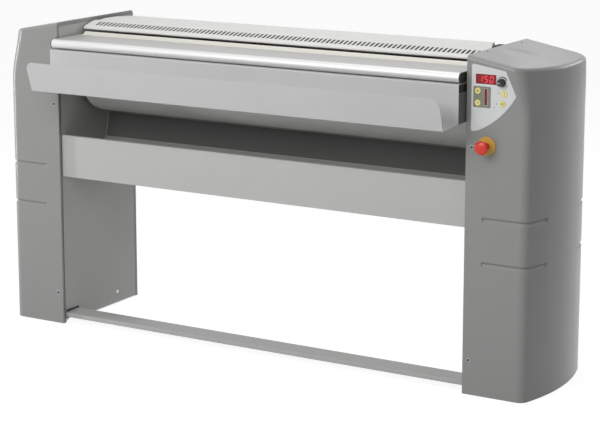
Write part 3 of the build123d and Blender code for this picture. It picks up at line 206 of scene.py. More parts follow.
def satin_skin(name, colour, roughness, wave, depth, mottle=0.03, sway=0.0, gloss=0.0, shine=0.5):
    """Moulded or powder-coated skin: even colour, fine orange peel and faint cloudiness.

    Sway adds the long upright waves that a deep-drawn cover shows in its reflections, and gloss
    the smooth outer layer in which the lamps stand as crisp lines along its edges.
    """
    material, tree, shader = start_material(name)
    shader.inputs["Coat Weight"].default_value = gloss
    shader.inputs["Coat Roughness"].default_value = 0.14
    shader.inputs["Specular IOR Level"].default_value = shine
    place = add_node(tree, "ShaderNodeTexCoord").outputs["Object"]
    clouds = add_node(tree, "ShaderNodeTexNoise",
                      links={"Vector": place, "Scale": 1 / CLOUD, "Detail": 3.0}).outputs["Fac"]
    specks = add_node(tree, "ShaderNodeTexNoise",
                      links={"Vector": place, "Scale": 1 / SPECK, "Detail": 1.0}).outputs["Fac"]
    peel = add_node(tree, "ShaderNodeTexNoise",
                    links={"Vector": place, "Scale": 1 / wave, "Detail": 2.0}).outputs["Fac"]
    tone = add_node(tree, "ShaderNodeMath", {"operation": "MULTIPLY_ADD"},
                    {0: specks, 1: 0.3, 2: clouds}).outputs["Value"]
    _, normal = surface(tree, shader, colour, tone, (1 - mottle, 1 + mottle),
                        (clouds, roughness - 0.05, roughness + 0.06), (peel, 0.25, depth),
                        round_edges=True)
    if sway:
        drawn = add_node(tree, "ShaderNodeMapping", links={"Vector": place, "Scale": UPRIGHT})
        swell = add_node(tree, "ShaderNodeTexNoise", links={"Vector": drawn.outputs["Vector"],
                                                            "Scale": 1 / SWELL, "Detail": 1.0})
        swayed = add_node(tree, "ShaderNodeBump", links={"Height": swell.outputs["Fac"],
                                                         "Strength": 1.0, "Distance": sway,
                                                         "Normal": normal})
        tree.links.new(swayed.outputs["Normal"], shader.inputs["Normal"])
    return material


def drawn_metal(name, colour, roughness, along=ALONG, line=0.5 * MM, contrast=0.06, metallic=1.0,
                nose=None):
    """Drawn, rolled or brushed metal: fine lines along one axis, drawn coarse enough to show.

    An anodised layer scatters light as paint does, so there the metal shows only in part. A nose,
    given as (front, back, colour), is a band in a lighter colour: a painted highlight along the edge.
    """
    material, tree, shader = start_material(name)
    place = add_node(tree, "ShaderNodeTexCoord").outputs["Object"]
    drawn = add_node(tree, "ShaderNodeMapping", links={"Vector": place, "Scale": along})
    lines = add_node(tree, "ShaderNodeTexNoise", links={"Vector": drawn.outputs["Vector"],
                                                        "Scale": 1 / line, "Detail": 2.0}).outputs["Fac"]
    shader.inputs["Metallic"].default_value = metallic
    base, _ = surface(tree, shader, colour, lines, (1 - contrast, 1 + contrast),
                      (lines, roughness - 0.06, roughness + 0.08), (lines, 0.15, 0.05 * MM),
                      round_edges=True)
    # The nose band is a painted highlight: a lighter colour laid along the rounded front edge.
    if nose:
        front, back, bright = nose
        depth = add_node(tree, "ShaderNodeSeparateXYZ", links={"Vector": place})
        highlight_share = add_node(tree, "ShaderNodeMapRange", links={"Value": depth.outputs["Y"],
                                                             "From Min": front, "From Max": back,
                                                             "To Min": 1.0, "To Max": 0.0})
        with_highlight = add_node(tree, "ShaderNodeMix", {"data_type": "RGBA"},
                        {"Factor": highlight_share.outputs["Result"], 6: base, 7: shade(bright)})
        tree.links.new(with_highlight.outputs[2], shader.inputs["Base Color"])
    return material


def moulded_plastic(name, colour, roughness):
    """Injection-moulded plastic, film or ink with a fine eroded grain."""
    material, tree, shader = start_material(name)
    place = add_node(tree, "ShaderNodeTexCoord").outputs["Object"]
    grain = add_node(tree, "ShaderNodeTexNoise",
                     links={"Vector": place, "Scale": 1 / GRAIN, "Detail": 3.0}).outputs["Fac"]
    surface(tree, shader, colour, grain, (0.94, 1.06), (grain, roughness - 0.03, roughness + 0.03),
            (grain, 0.3, 0.03 * MM))
    return material


def woven_cloth(name, colour, thread, sheen):
    """Plain-woven cloth wound tight: crossing threads, pressed marks and a soft sheen.

    A real thread is finer than a pixel here, so the weave is drawn as coarse as it needs to show.
    """
    material, tree, shader = start_material(name)
    place = add_node(tree, "ShaderNodeTexCoord").outputs["Object"]
    threads = [add_node(tree, "ShaderNodeTexWave", {"wave_type": "BANDS", "bands_direction": axis},
                        {"Vector": place, "Scale": WAVE_PERIOD / thread, "Distortion": 0.6,
                         "Detail": 1.0, "Detail Scale": 2.0}) for axis in "XZ"]
    weave = add_node(tree, "ShaderNodeMath", {"operation": "MULTIPLY"},
                     {0: threads[0].outputs["Fac"], 1: threads[1].outputs["Fac"]}).outputs["Value"]
    drawn = add_node(tree, "ShaderNodeMapping", links={"Vector": place, "Scale": LENGTHWISE})
    marks = add_node(tree, "ShaderNodeTexNoise", links={"Vector": drawn.outputs["Vector"],
                                                        "Scale": 1 / PRESSED, "Detail": 4.0})
    tone = add_node(tree, "ShaderNodeMath", {"operation": "MULTIPLY_ADD"},
                    {0: weave, 1: 0.4, 2: marks.outputs["Fac"]}).outputs["Value"]
    shader.inputs["Sheen Weight"].default_value = sheen
    surface(tree, shader, colour, tone, (0.86, 1.03), 0.9, (weave, 0.4, 0.2 * MM))
    return material


def mineral_wool(name, colour):
    """Matted wool or felt: tangled fibres."""
    material, tree, shader = start_material(name)
    place = add_node(tree, "ShaderNodeTexCoord").outputs["Object"]
    drawn = add_node(tree, "ShaderNodeMapping", links={"Vector": place, "Scale": LENGTHWISE})
    fibres = add_node(tree, "ShaderNodeTexNoise",
                      links={"Vector": drawn.outputs["Vector"], "Scale": 1 / FIBRE, "Detail": 5.0,
                             "Distortion": 2.0}).outputs["Fac"]
    surface(tree, shader, colour, fibres, (0.7, 1.15), 0.95, (fibres, 0.8, 0.8 * MM))
    return material


def lit_segment(name, colour, strength):
    """A lit figure behind a red window: it glows almost evenly."""
    material, tree, shader = start_material(name)
    place = add_node(tree, "ShaderNodeTexCoord").outputs["Object"]
    blur = add_node(tree, "ShaderNodeTexNoise", links={"Vector": place, "Scale": 1 / BLUR})
    glow = add_node(tree, "ShaderNodeMix", {"data_type": "RGBA"},
                    {"Factor": blur.outputs["Fac"], 6: shade(colour, 0.85), 7: shade(colour, 1.1)})
    tree.links.new(glow.outputs[2], shader.inputs["Emission Color"])
    shader.inputs["Emission Strength"].default_value = strength
    shader.inputs["Base Color"].default_value = shade(colour)
    shader.inputs["Roughness"].default_value = 0.3
    return material


finishes = {}


def finish_for(slot):
    """The finish of a record slot or of a printed or lit mark, made once."""
    if slot in finishes:
        return finishes[slot]
    c, s = bpy.context.scene.ironer_colours, bpy.context.scene.ironer_sizes
    makers = {
        # Glossy moulded ABS: even grey in which the lamps stand as thin crisp lines on the edges.
        "column_paint": lambda: satin_skin("glossy ABS moulding", c.column, 0.36, s.peel, 0.02 * MM, 0.02,
                                           sway=0.4 * MM, gloss=0.36, shine=0.22),
        # Powder coat baked on folded steel: flat colour, broad dull highlights, faint orange peel.
        "plate_steel": lambda: satin_skin("powder-coated steel plate", c.plate, 0.5, s.peel, 0.04 * MM),
        "rear_paint": lambda: satin_skin("powder-coated rear panel", c.rear, 0.6, s.peel, 0.04 * MM),
        "tray_paint": lambda: satin_skin("powder-coated steel tray", c.tray, 0.42, s.peel, 0.03 * MM),
        "trough_paint": lambda: satin_skin("powder-coated steel trough", c.trough, 0.45, s.peel, 0.03 * MM),
        "hood_paint": lambda: satin_skin("powder-coated steel hood", c.hood, 0.42, s.peel, 0.03 * MM),
        "guard_paint": lambda: satin_skin("powder-coated finger guard", c.guard, 0.45, s.peel, 0.03 * MM),
        # Powder coat scuffed by shoes: the same, with more cloudiness.
        "pedal_paint": lambda: satin_skin("powder-coated foot bar", c.pedal, 0.45, s.peel, 0.05 * MM, 0.06),
        # Thick enamel and a sand casting: dark, with a coarse skin that breaks up the light.
        "motor_paint": lambda: satin_skin("enamelled motor housing", linear("4A525C"), 0.4, s.peel,
                                          0.08 * MM),
        "cast_iron": lambda: satin_skin("cast iron bearing", linear("565A5E"), 0.6, 1.5 * MM, 0.3 * MM),
        # Anodised extrusion: a dull silver veil over fine lines, and a lighter band along its nose that is a
        # painted highlight.
        "table_aluminium": lambda: drawn_metal("anodised aluminium extrusion", c.table, 0.42, metallic=0.3,
                                               nose=(-162 * MM, -153 * MM, c.nose)),
        # Rolled and polished metal: soft mirror light drawn out across the lines.
        "polished_aluminium": lambda: drawn_metal("polished aluminium chest", linear("D9DBDB"), 0.2),
        # The jacket's dark grey is painted shade: it darkens the shaded space below the tray where it shows.
        "jacket_steel": lambda: drawn_metal("heat-darkened steel jacket", linear("70716F"), 0.5,
                                            metallic=0.5),
        # Zinc plate and black oxide: cloudy metal with no direction.
        "zinc_steel": lambda: drawn_metal("zinc-plated steel", linear("C4C7C8"), 0.38, UNDIRECTED,
                                          3 * MM, 0.12),
        "dark_steel": lambda: drawn_metal("blackened steel", linear("55585A"), 0.35, UNDIRECTED,
                                          2 * MM, 0.1),
        # Cloth, wool and felt: no gloss, with light caught by threads and fibres.
        "roll_cloth": lambda: woven_cloth("woven ironing cloth", c.cloth, s.thread, 0.2),
        "insulation": lambda: mineral_wool("mineral wool mat", linear("B9AE86")),
        # The black sheet under the hood's slots is painted shade that darkens the slots.
        "painted_slot_shade": lambda: mineral_wool("black felt strip", linear("1C1C1B")),
        # Nylon, polycarbonate and rubber from an eroded mould: a weak, wide highlight.
        "black_plastic": lambda: moulded_plastic("black polyamide", linear("1A1B1C"), 0.45),
        # Its dark grey serves as painted shade on the strips in the covers' gaps and at the tray's ends.
        "dark_trim": lambda: moulded_plastic("dark grey polyamide", linear("5C5F60"), 0.5),
        "inverter_grey": lambda: moulded_plastic("grey polycarbonate housing", linear("6A6E73"), 0.5),
        "rubber": lambda: moulded_plastic("black rubber", linear("17181A"), 0.7),
        # The trough's dark sheet uses this grey as painted shade on its back wall.
        "trough_shade_mat": lambda: moulded_plastic("dark grey rubber mat", linear("6E6F6D"), 0.8),
        # Acetal and acrylic from a polished mould: clean colour and a small sharp highlight.
        "button_yellow": lambda: moulded_plastic("yellow acetal", c.button, 0.32),
        "stop_ring": lambda: moulded_plastic("warm yellow acetal", c.ring, 0.35),
        "stop_red": lambda: moulded_plastic("red acetal", c.stop, 0.28),
        "window_dark": lambda: moulded_plastic("red acrylic window", c.window, 0.14),
        "bar_red": lambda: moulded_plastic("smoked red acrylic", linear("6A1518"), 0.15),
        # Film, solder mask and screen ink: thin even layers, nearly matt.
        "panel_grey": lambda: moulded_plastic("matt polyester panel film", c.film, 0.4),
        "board_green": lambda: moulded_plastic("green solder mask", linear("1D6B3F"), 0.3),
        "field_ink": lambda: moulded_plastic("grey green screen ink", c.field, 0.5),
        "dark_ink": lambda: moulded_plastic("black screen ink", linear("26282A"), 0.5),
        "white_ink": lambda: moulded_plastic("white screen ink", linear("E8E8E4"), 0.5),
        "pale_ink": lambda: moulded_plastic("pale yellow screen ink", linear("F1E9A6"), 0.5),
        # Light behind smoked acrylic: it shows by its own glow more than by the room's light.
        "figure_glow": lambda: lit_segment("lit red figures", linear("EE4048"), 0.62),
        "level_glow": lambda: lit_segment("lit level segments", linear("8E2226"), 0.15),
    }
    finishes[slot] = makers[slot]()
    return finishes[slot]


def dress(*names, finish=None):
    """Gives CAD nodes the finish of their slots, or another one."""
    for name in names:
        slots = nodes[name].material_slots
        if not slots:
            raise RuntimeError(f"{name} has no material slot")
        for entry in slots:
            entry.link = "OBJECT"
            entry.material = finish_for(finish or slot_of[name])


# ---- mesh helpers --------------------------------------------------------------------------
def facing(origin, across, up):
    """A frame whose third axis points out of the surface that carries a piece."""
    x, y = Vector(across).normalized(), Vector(up).normalized()
    z = x.cross(y)
    matrix = Matrix((x, y, z)).transposed().to_4x4()
    matrix.translation = Vector(origin)
    return matrix


def to_front(x, y, z):
    return facing((x, y, z), (1, 0, 0), (0, 0, 1))


def to_back(x, y, z):
    return facing((x, y, z), (-1, 0, 0), (0, 0, 1))


def middle_of(node):
    low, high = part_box(node)
    return (Vector(low) + Vector(high)) / 2


def keep(name, mesh, body, slot, finish=None, smooth=True):
    """Turns a bmesh into a named piece with its finish, riding on a body."""
    bmesh.ops.recalc_face_normals(mesh, faces=mesh.faces)
    data = bpy.data.meshes.new(name)
    mesh.to_mesh(data)
    mesh.free()
    if smooth:
        data.shade_smooth()
        data.set_sharp_from_angle(angle=math.radians(35))
    piece = bpy.data.objects.new(name, data)
    bpy.context.scene.collection.objects.link(piece)
    data.materials.append(finish_for(finish or slot))
    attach(piece, body)
    return piece


def ring_mesh(mesh, rows, closed_ends=True):
    """Skins rows of points, each row a closed ring, and closes the two ends with one face each."""
    made = [[mesh.verts.new(point) for point in row] for row in rows]
    for first, second in zip(made, made[1:]):
        for i in range(len(first)):
            j = (i + 1) % len(first)
            mesh.faces.new((first[i], first[j], second[j], second[i]))
    if closed_ends:
        mesh.faces.new(list(reversed(made[0])))
        mesh.faces.new(made[-1])
    return made


def strip(mesh, half, section, steps=40):
    """A long strip along X, given its half length and its section's (y, z) points in millimetres."""
    ring_mesh(mesh, [[(half * (2 * i / steps - 1), y * MM, z * MM) for y, z in section]
                     for i in range(steps + 1)])


def turned(mesh, profile, where, segments, radius=lambda r, h, a: r):
    """Turns (radius, height) pairs round the frame's third axis; radius can vary with the angle."""
    rows = []
    for r, h in profile:
        row = []
        for i in range(segments):
            a = 2 * math.pi * i / segments
            reach = radius(r, h, a)
            row.append(where @ Vector((reach * math.cos(a), reach * math.sin(a), h)))
        rows.append(row)
    ring_mesh(mesh, rows)


def flute(depth, count, angle):
    """How far a flute or rib is cut back at an angle, of a number round the rim."""
    return depth * (0.5 + 0.5 * math.cos(count * angle))


def prism(mesh, loops, where, low, high):
    """A flat shape with holes, given as an outer loop and hole loops, between two heights."""
    edges = []
    for loop in loops:
        points = [mesh.verts.new((x, y, low)) for x, y in loop]
        edges += [mesh.edges.new((points[i - 1], points[i])) for i in range(len(points))]
    filled = bmesh.ops.triangle_fill(mesh, use_beauty=True, edges=edges)
    faces = [item for item in filled["geom"] if isinstance(item, bmesh.types.BMFace)]
    raised = bmesh.ops.extrude_face_region(mesh, geom=faces, use_keep_orig=True)["geom"]
    moved = [item for item in raised if isinstance(item, bmesh.types.BMVert)]
    for point in moved:
        point.co.z = high
    own = {point for face in faces for point in face.verts} | set(moved)
    for point in own:
        point.co = where @ point.co


def circle(radius, middle=(0, 0), steps=32):
    return [(middle[0] + radius * math.cos(2 * math.pi * i / steps),
             middle[1] + radius * math.sin(2 * math.pi * i / steps)) for i in range(steps)]


def rounded(low, high, radius, steps=5):
    """A rectangle with round corners."""
    points = []
    corners = ((high[0], high[1], 0), (low[0], high[1], 90), (low[0], low[1], 180), (high[0], low[1], 270))
    for x, y, start in corners:
        cx = x - math.copysign(radius, x - (low[0] + high[0]) / 2)
        cy = y - math.copysign(radius, y - (low[1] + high[1]) / 2)
        for i in range(steps + 1):
            a = math.radians(start + 90 * i / steps)
            points.append((cx + radius * math.cos(a), cy + radius * math.sin(a)))
    return points


def washer(mesh, where, radius):
    """A thin washer under a screw head."""
    turned(mesh, [(radius * 1.28, 0), (radius * 1.32, 0.2 * MM), (radius * 1.28, 0.5 * MM),
                  (radius * 0.5, 0.55 * MM)], where, 24)


def screw_head(mesh, where, radius, height, turn):
    """A pan head with a cross recess, both in shares of the head's radius."""
    rings, spokes, slot_half, slot_reach, rim = 9, 40, 0.17, 0.62, 0.4 * MM
    rows = [[where @ Vector((radius * math.cos(2 * math.pi * i / spokes),
                             radius * math.sin(2 * math.pi * i / spokes), rim)) for i in range(spokes)]]
    for ring in range(rings, 0, -1):
        share = ring / rings
        row = []
        for i in range(spokes):
            a = 2 * math.pi * i / spokes
            u, v = abs(share * math.cos(a + turn)), abs(share * math.sin(a + turn))
            in_cross = (u < slot_half and v < slot_reach) or (v < slot_half and u < slot_reach)
            lift = height * (1 - 0.4 * share ** 4) - (0.5 * height if in_cross else 0)
            row.append(where @ Vector((radius * share * math.cos(a), radius * share * math.sin(a), lift)))
        rows.append(row)
    ring_mesh(mesh, rows)


# ---- stage ---------------------------------------------------------------------------------
LAMPS = (   # name, place, what it aims at, watts, width, height
    ("key_light", (-0.25, -2.9, 2.4), (0, 0, 0.65), 76, 2.8, 2.0),
    ("top_light", (0.2, 0.5, 2.9), (0.2, 0, 0.9), 14, 1.6, 1.0),
    ("left_strip", (-3.0, -0.75, 0.65), (-0.9, -0.15, 0.6), 24, 0.16, 1.5),
    ("rear_fill", (2.0, 3.2, 1.9), (0, 0, 0.6), 18, 1.6, 1.2),
    ("rear_window", (-0.1, 2.9, 1.9), (0.8, 0, 0.95), 0.12, 0.25, 0.15),
)
WHITE = (1.0, 1.0, 1.0)
FLOOR_HALF = 30
FLOOR_BOUNCE, FLOOR_SHADOW, FLOOR_SEEN = 0.65, 0.24, 0.9     # sent back, shaded part, seen part
ROOM_LIGHT, ROOM_SEEN = 0.24, 1.0
SENSOR, FOCAL_PIXELS, PICTURE_PIXELS = 36.0, 1905.78, 600    # mm, and pixels across the picture


def soft_light(name, place, aim, power, width, height):
    lamp = bpy.data.lights.new(name, "AREA")
    lamp.shape, lamp.size, lamp.size_y, lamp.energy = "RECTANGLE", width, height, power
    obj = bpy.data.objects.new(name, lamp)
    obj.location = place
    obj.rotation_mode = "QUATERNION"
    obj.rotation_quaternion = (Vector(aim) - Vector(place)).to_track_quat("-Z", "Y")
    bpy.context.scene.collection.objects.link(obj)


def seen_directly(tree):
    """1 for what the camera sees, also in metal and through glass, and 0 for the light itself."""
    rays = add_node(tree, "ShaderNodeLightPath")
    seen = add_node(tree, "ShaderNodeMath", {"operation": "MAXIMUM"},
                    {0: rays.outputs["Is Camera Ray"], 1: rays.outputs["Is Glossy Ray"]})
    return add_node(tree, "ShaderNodeMath", {"operation": "MAXIMUM"},
                    {0: seen.outputs["Value"], 1: rays.outputs["Is Transmission Ray"]}).outputs["Value"]


class IRONER_OT_stage(Operator):
    """Makes the pale floor, the studio light and the camera."""

    bl_idname = "ironer.stage"
    bl_label = "Stage"

    def execute(self, context):
        scene = context.scene
        scene.view_settings.view_transform = "Standard"
        self.make_floor(scene)
        self.make_room(scene)
        for lamp in LAMPS:
            soft_light(*lamp)
        self.make_camera(scene)
        return {"FINISHED"}

    def make_floor(self, scene):
        mesh = bmesh.new()
        mesh.faces.new([mesh.verts.new((x * FLOOR_HALF, y * FLOOR_HALF, cad_low.z))
                        for x, y in ((-1, -1), (1, -1), (1, 1), (-1, 1))])
        data = bpy.data.meshes.new("studio_floor")
        mesh.to_mesh(data)
        mesh.free()
        floor = bpy.data.objects.new("studio_floor", data)
        scene.collection.objects.link(floor)
        material, tree, shader = start_material("pale studio floor")
        shader.inputs["Base Color"].default_value = shade(WHITE, FLOOR_BOUNCE)
        shader.inputs["Roughness"].default_value = 0.9
        shader.inputs["Specular IOR Level"].default_value = 0.0
        soft = add_node(tree, "ShaderNodeBsdfDiffuse", links={"Color": shade(WHITE, FLOOR_SHADOW)})
        glow = add_node(tree, "ShaderNodeEmission", links={"Color": shade(WHITE), "Strength": FLOOR_SEEN})
        pale = add_node(tree, "ShaderNodeAddShader", links={0: soft.outputs["BSDF"],
                                                            1: glow.outputs["Emission"]})
        mixed = add_node(tree, "ShaderNodeMixShader", links={0: seen_directly(tree),
                                                             1: shader.outputs["BSDF"],
                                                             2: pale.outputs["Shader"]})
        tree.links.new(mixed.outputs["Shader"], tree.nodes["Material Output"].inputs["Surface"])
        data.materials.append(material)

    def make_room(self, scene):
        world = scene.world or bpy.data.worlds.new("studio")
        scene.world = world
        world.use_nodes = True
        tree = world.node_tree
        tree.nodes.clear()
        light, backdrop = (add_node(tree, "ShaderNodeBackground", links={"Color": shade(WHITE),
                                                                         "Strength": strength})
                           for strength in (ROOM_LIGHT, ROOM_SEEN))
        mixed = add_node(tree, "ShaderNodeMixShader", links={0: seen_directly(tree),
                                                             1: light.outputs["Background"],
                                                             2: backdrop.outputs["Background"]})
        add_node(tree, "ShaderNodeOutputWorld", links={"Surface": mixed.outputs["Shader"]})

    def make_camera(self, scene):
        camera = bpy.data.cameras.new("camera")
        camera.sensor_width = SENSOR
        camera.lens = FOCAL_PIXELS / PICTURE_PIXELS * SENSOR
        camera.shift_y = -0.1
        camera.clip_start, camera.clip_end = 0.05, 100
        eye = bpy.data.objects.new("camera", camera)
        eye.location = (3000.9 * MM, -4917.2 * MM, 1728.8 * MM)
        yaw, pitch = math.radians(30.5413), math.radians(10.9082)
        eye.rotation_euler = (math.pi / 2 - pitch, 0, yaw)
        scene.collection.objects.link(eye)
        scene.camera = eye


# ---- pieces --------------------------------------------------------------------------------
class IRONER_OT_columns(Operator):
    """Finishes the moulded column covers."""

    bl_idname = "ironer.columns"
    bl_label = "Column covers"

    def execute(self, context):
        dress("left_column_cover", "right_column_cover")
        return {"FINISHED"}


class IRONER_OT_steelwork(Operator):
    """Finishes the side plates, tubes, brackets, base pans and feet."""

    bl_idname = "ironer.steelwork"
    bl_label = "Steelwork"

    def execute(self, context):
        dress("left_side_plate", "right_side_plate", "base_pans", "leveling_feet", "cross_tubes",
              "table_brackets", "tray_brackets", "guard_switch", "hood_hinge_rod", "hood_side_buffer")
        dress("rear_panel", finish="rear_paint")
        return {"FINISHED"}


class IRONER_OT_screws(Operator):
    """Makes the cross-head screws that hold the covers, in place of the plain heads."""

    bl_idname = "ironer.screws"
    bl_label = "Cover screws"

    def execute(self, context):
        radius, head_height, low_screw = 4.6 * MM, 2.3 * MM, 109 * MM
        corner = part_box("cover_screws")[1]
        x, heights = corner[0] - radius, (low_screw, corner[2] - radius)
        heads, washers = bmesh.new(), bmesh.new()
        for index, (side, height) in enumerate((side, height) for side in (-1, 1) for height in heights):
            for where, turn in ((to_front(side * x, COLUMN_FRONT, height), 0.4 + index),
                                (to_back(side * x, COLUMN_BACK, height), 0.9 + index)):
                washer(washers, where, radius)
                screw_head(heads, where, radius, head_height, turn)
        piece = keep("cover_screw_heads", heads, "frame", "zinc_steel", "dark_steel")
        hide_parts("cover_screws")
        keep("cover_screw_washers", washers, "frame", "zinc_steel")

        # Small screws: (outward, backward) places on the sloping top, and heights on the inner lip.
        top_places, slope = ((13, 106), (18, 332)), math.radians(10.5)
        lip_heights, lip_depth = (99, 916), 9 * MM
        small = bmesh.new()
        for side in (-1, 1):
            for out, depth in top_places:
                place = (side * (INNER_WALL + out * MM), COLUMN_FRONT + depth * MM,
                         COLUMN_TOP - out * MM * math.tan(slope))
                leaning = facing(place, (math.cos(slope), 0, -side * math.sin(slope)), (0, 1, 0))
                screw_head(small, leaning, 2.6 * MM, 1.2 * MM, 0.3 + depth)
            for height in lip_heights:
                inward = facing((side * INNER_WALL, COLUMN_FRONT + lip_depth, height * MM), (0, side, 0),
                                (0, 0, -1))
                screw_head(small, inward, 2.4 * MM, 1.0 * MM, 0.7 + height)
        keep("cover_edge_screws", small, "frame", "zinc_steel", "dark_steel")
        return {"FINISHED"}


class IRONER_OT_trim(Operator):
    """Makes dark strips that paint the shade in the covers' inner gaps and on the tray's ends."""

    bl_idname = "ironer.trim"
    bl_label = "Seals and cheeks"

    def execute(self, context):
        # Painted shade: these dark strips stand for the shadow in the covers' gaps and on the tray's ends.
        gap_shade_depths, gap_shade_foot, gap_shade_top = (8 * MM, 11 * MM), 20 * MM, 795 * MM
        end_shade_depths, end_shade_foot, end_shade_top = (-40 * MM, 24 * MM), 802 * MM, 887 * MM
        tray_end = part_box("laundry_tray")[1][0] + 0.1 * MM
        gap_shade_strips, end_shade_strips = bmesh.new(), bmesh.new()
        for side in (-1, 1):
            inward = facing((side * INNER_WALL, 0, 0), (0, side, 0), (0, 0, -1))
            near, far = sorted(side * (COLUMN_FRONT + depth) for depth in gap_shade_depths)
            prism(gap_shade_strips, [rounded((near, -gap_shade_top), (far, -gap_shade_foot), 1 * MM, 3)], inward, 0, 0.9 * MM)
            outward = facing((side * tray_end, 0, 0), (0, side, 0), (0, 0, 1))
            near, far = sorted(side * (COLUMN_FRONT + depth) for depth in end_shade_depths)
            for edge, height in ((0, 1.6 * MM), (2.5 * MM, 2.4 * MM)):
                prism(end_shade_strips, [rounded((near + edge, end_shade_foot + edge), (far - edge, end_shade_top - edge),
                                       3 * MM)], outward, 0, height)
        keep("cover_gap_shade", gap_shade_strips, "frame", "rubber", "dark_trim")
        keep("tray_end_shade", end_shade_strips, "frame", "black_plastic", "dark_trim")
        return {"FINISHED"}


class IRONER_OT_vents(Operator):
    """Lays dark sheets under the hood's slots and dark rims round them: painted shade in the slots."""

    bl_idname = "ironer.vents"
    bl_label = "Hood slots"

    def execute(self, context):
        under_slots = facing((0, 19 * MM, 971.8 * MM), (1, 0, 0), (0, 28, 7.3))
        pads, reach, joint = 46, 690 * MM, 1 * MM
        slot_shade_sheet = bmesh.new()
        for i in range(pads):
            left = i * 2 * reach / pads - reach
            right = left + (2 * reach - joint) / pads
            prism(slot_shade_sheet, [rounded((left, -5 * MM), (right, 34 * MM), 1 * MM, 2)], under_slots,
                  -1.1 * MM, -0.4 * MM)
        keep("hood_slot_shade", slot_shade_sheet, "hood", "black_plastic", "painted_slot_shade")

        # The black rims round the slots are painted shade too, widening the dark of each slot.
        count, pitch, middle, rim = 91, 15 * MM, 14.5 * MM, 1.1 * MM
        half_wide, half_long = 2.6 * MM, 14.1 * MM
        rim_shade = bmesh.new()
        for i in range(count):
            x = (i - (count - 1) / 2) * pitch
            inner = rounded((x - half_wide, middle - half_long), (x + half_wide, middle + half_long),
                            0.4 * MM, 2)
            outer = rounded((x - half_wide - rim, middle - rim - half_long),
                            (x + half_wide + rim, middle + rim + half_long), 1.2 * MM, 2)
            prism(rim_shade, [outer, inner], under_slots, 1.3 * MM, 1.75 * MM)
        keep("slot_rim_shade", rim_shade, "hood", "black_plastic", "rubber")
        return {"FINISHED"}


class IRONER_OT_strips(Operator):
    """Makes the finger guard behind the feed table and a painted-shade sheet on the trough's back wall."""

    bl_idname = "ironer.strips"
    bl_label = "Guard and mat"

    def execute(self, context):
        guard = bmesh.new()
        strip(guard, 699 * MM, [(-33, 945.6), (-20, 945.6), (-7.2, 953.0), (-6.0, 954.6), (-7.4, 955.0),
                                (-20.6, 947.0), (-33, 946.9)])
        keep("finger_guard", guard, "frame", "hood_paint", "guard_paint")

        # Painted shade: the dark sheet stands for the shade that the tray and roll cast on the back wall.
        foot, head = Vector((117.6, 592)), Vector((137.4, 670))
        rise = (head - foot).normalized()
        outward = Vector((-rise.y, rise.x))
        near, far = 1.4 * outward, 2.2 * outward
        shade_sheet = bmesh.new()
        strip(shade_sheet, 714 * MM, [foot + near, head + near, head + far, foot + far])
        keep("trough_shade_sheet", shade_sheet, "frame", "trough_paint", "trough_shade_mat")
        return {"FINISHED"}


class IRONER_OT_roll(Operator):
    """Wraps the roll in its cloth and finishes the drum, shafts and bearings."""

    bl_idname = "ironer.roll"
    bl_label = "Roll"

    def execute(self, context):
        dress("roll_drum", "roll_shafts", "roll_bearings", "bearing_bolts", "roll_sprocket")
        low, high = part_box("roll_padding")
        middle = middle_of("roll_padding")
        half, reach, bore = high[0], (high[2] - low[2]) / 2, 118.1 * MM
        end_reach = reach - 3.4 * MM
        gathers, pleat_count, lap = 28 * MM, 46, context.scene.ironer_sizes.lap
        stations, steps, seam = 140, 120, 2.2

        def cloth(x, turn):
            """The cloth's reach at a place: one lap, long soft waves, and gathers at the ends."""
            waves = 0.12 * MM * (1 + math.sin(x * 11 + 5 * turn))
            near_end = max(0.0, 1 - (half - abs(x)) / gathers)
            pleats = near_end ** 2 * MM * (0.9 + 0.5 * math.sin(turn * 2 * math.pi * pleat_count))
            return reach - lap * (1 - turn) - waves - pleats

        turns = [i / steps for i in range(steps + 1)]
        rings = [(-half, [bore] * len(turns)), (-half, [end_reach] * len(turns))]
        for i in range(1, stations):
            x = half * (2 * i / stations - 1)
            rings.append((x, [cloth(x, turn) for turn in turns]))
        rings += [(half, [end_reach] * len(turns)), (half, [bore] * len(turns))]
        mesh = bmesh.new()
        made = []
        for x, reaches in rings:
            angles = [2 * math.pi * turn + seam for turn in turns]
            made.append([mesh.verts.new((x, middle.y + r * math.cos(a), middle.z + r * math.sin(a)))
                         for a, r in zip(angles, reaches)])
        for first, second in zip(made, made[1:] + made[:1]):
            for i in range(steps + 1):
                j = (i + 1) % (steps + 1)
                mesh.faces.new((first[i], first[j], second[j], second[i]))
        bmesh.ops.remove_doubles(mesh, verts=mesh.verts, dist=0.001 * MM)
        piece = keep("roll_cloth", mesh, "roll", "roll_cloth")
        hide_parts("roll_padding")
        return {"FINISHED"}


class IRONER_OT_drive(Operator):
    """Finishes the chain drive, the gear motor and the electrics in the columns."""

    bl_idname = "ironer.drive"
    bl_label = "Drive"

    def execute(self, context):
        dress("drive_chain", "motor_sprocket", "motor_shaft", "gearmotor", "motor_bracket", "inverter_box")
        return {"FINISHED"}


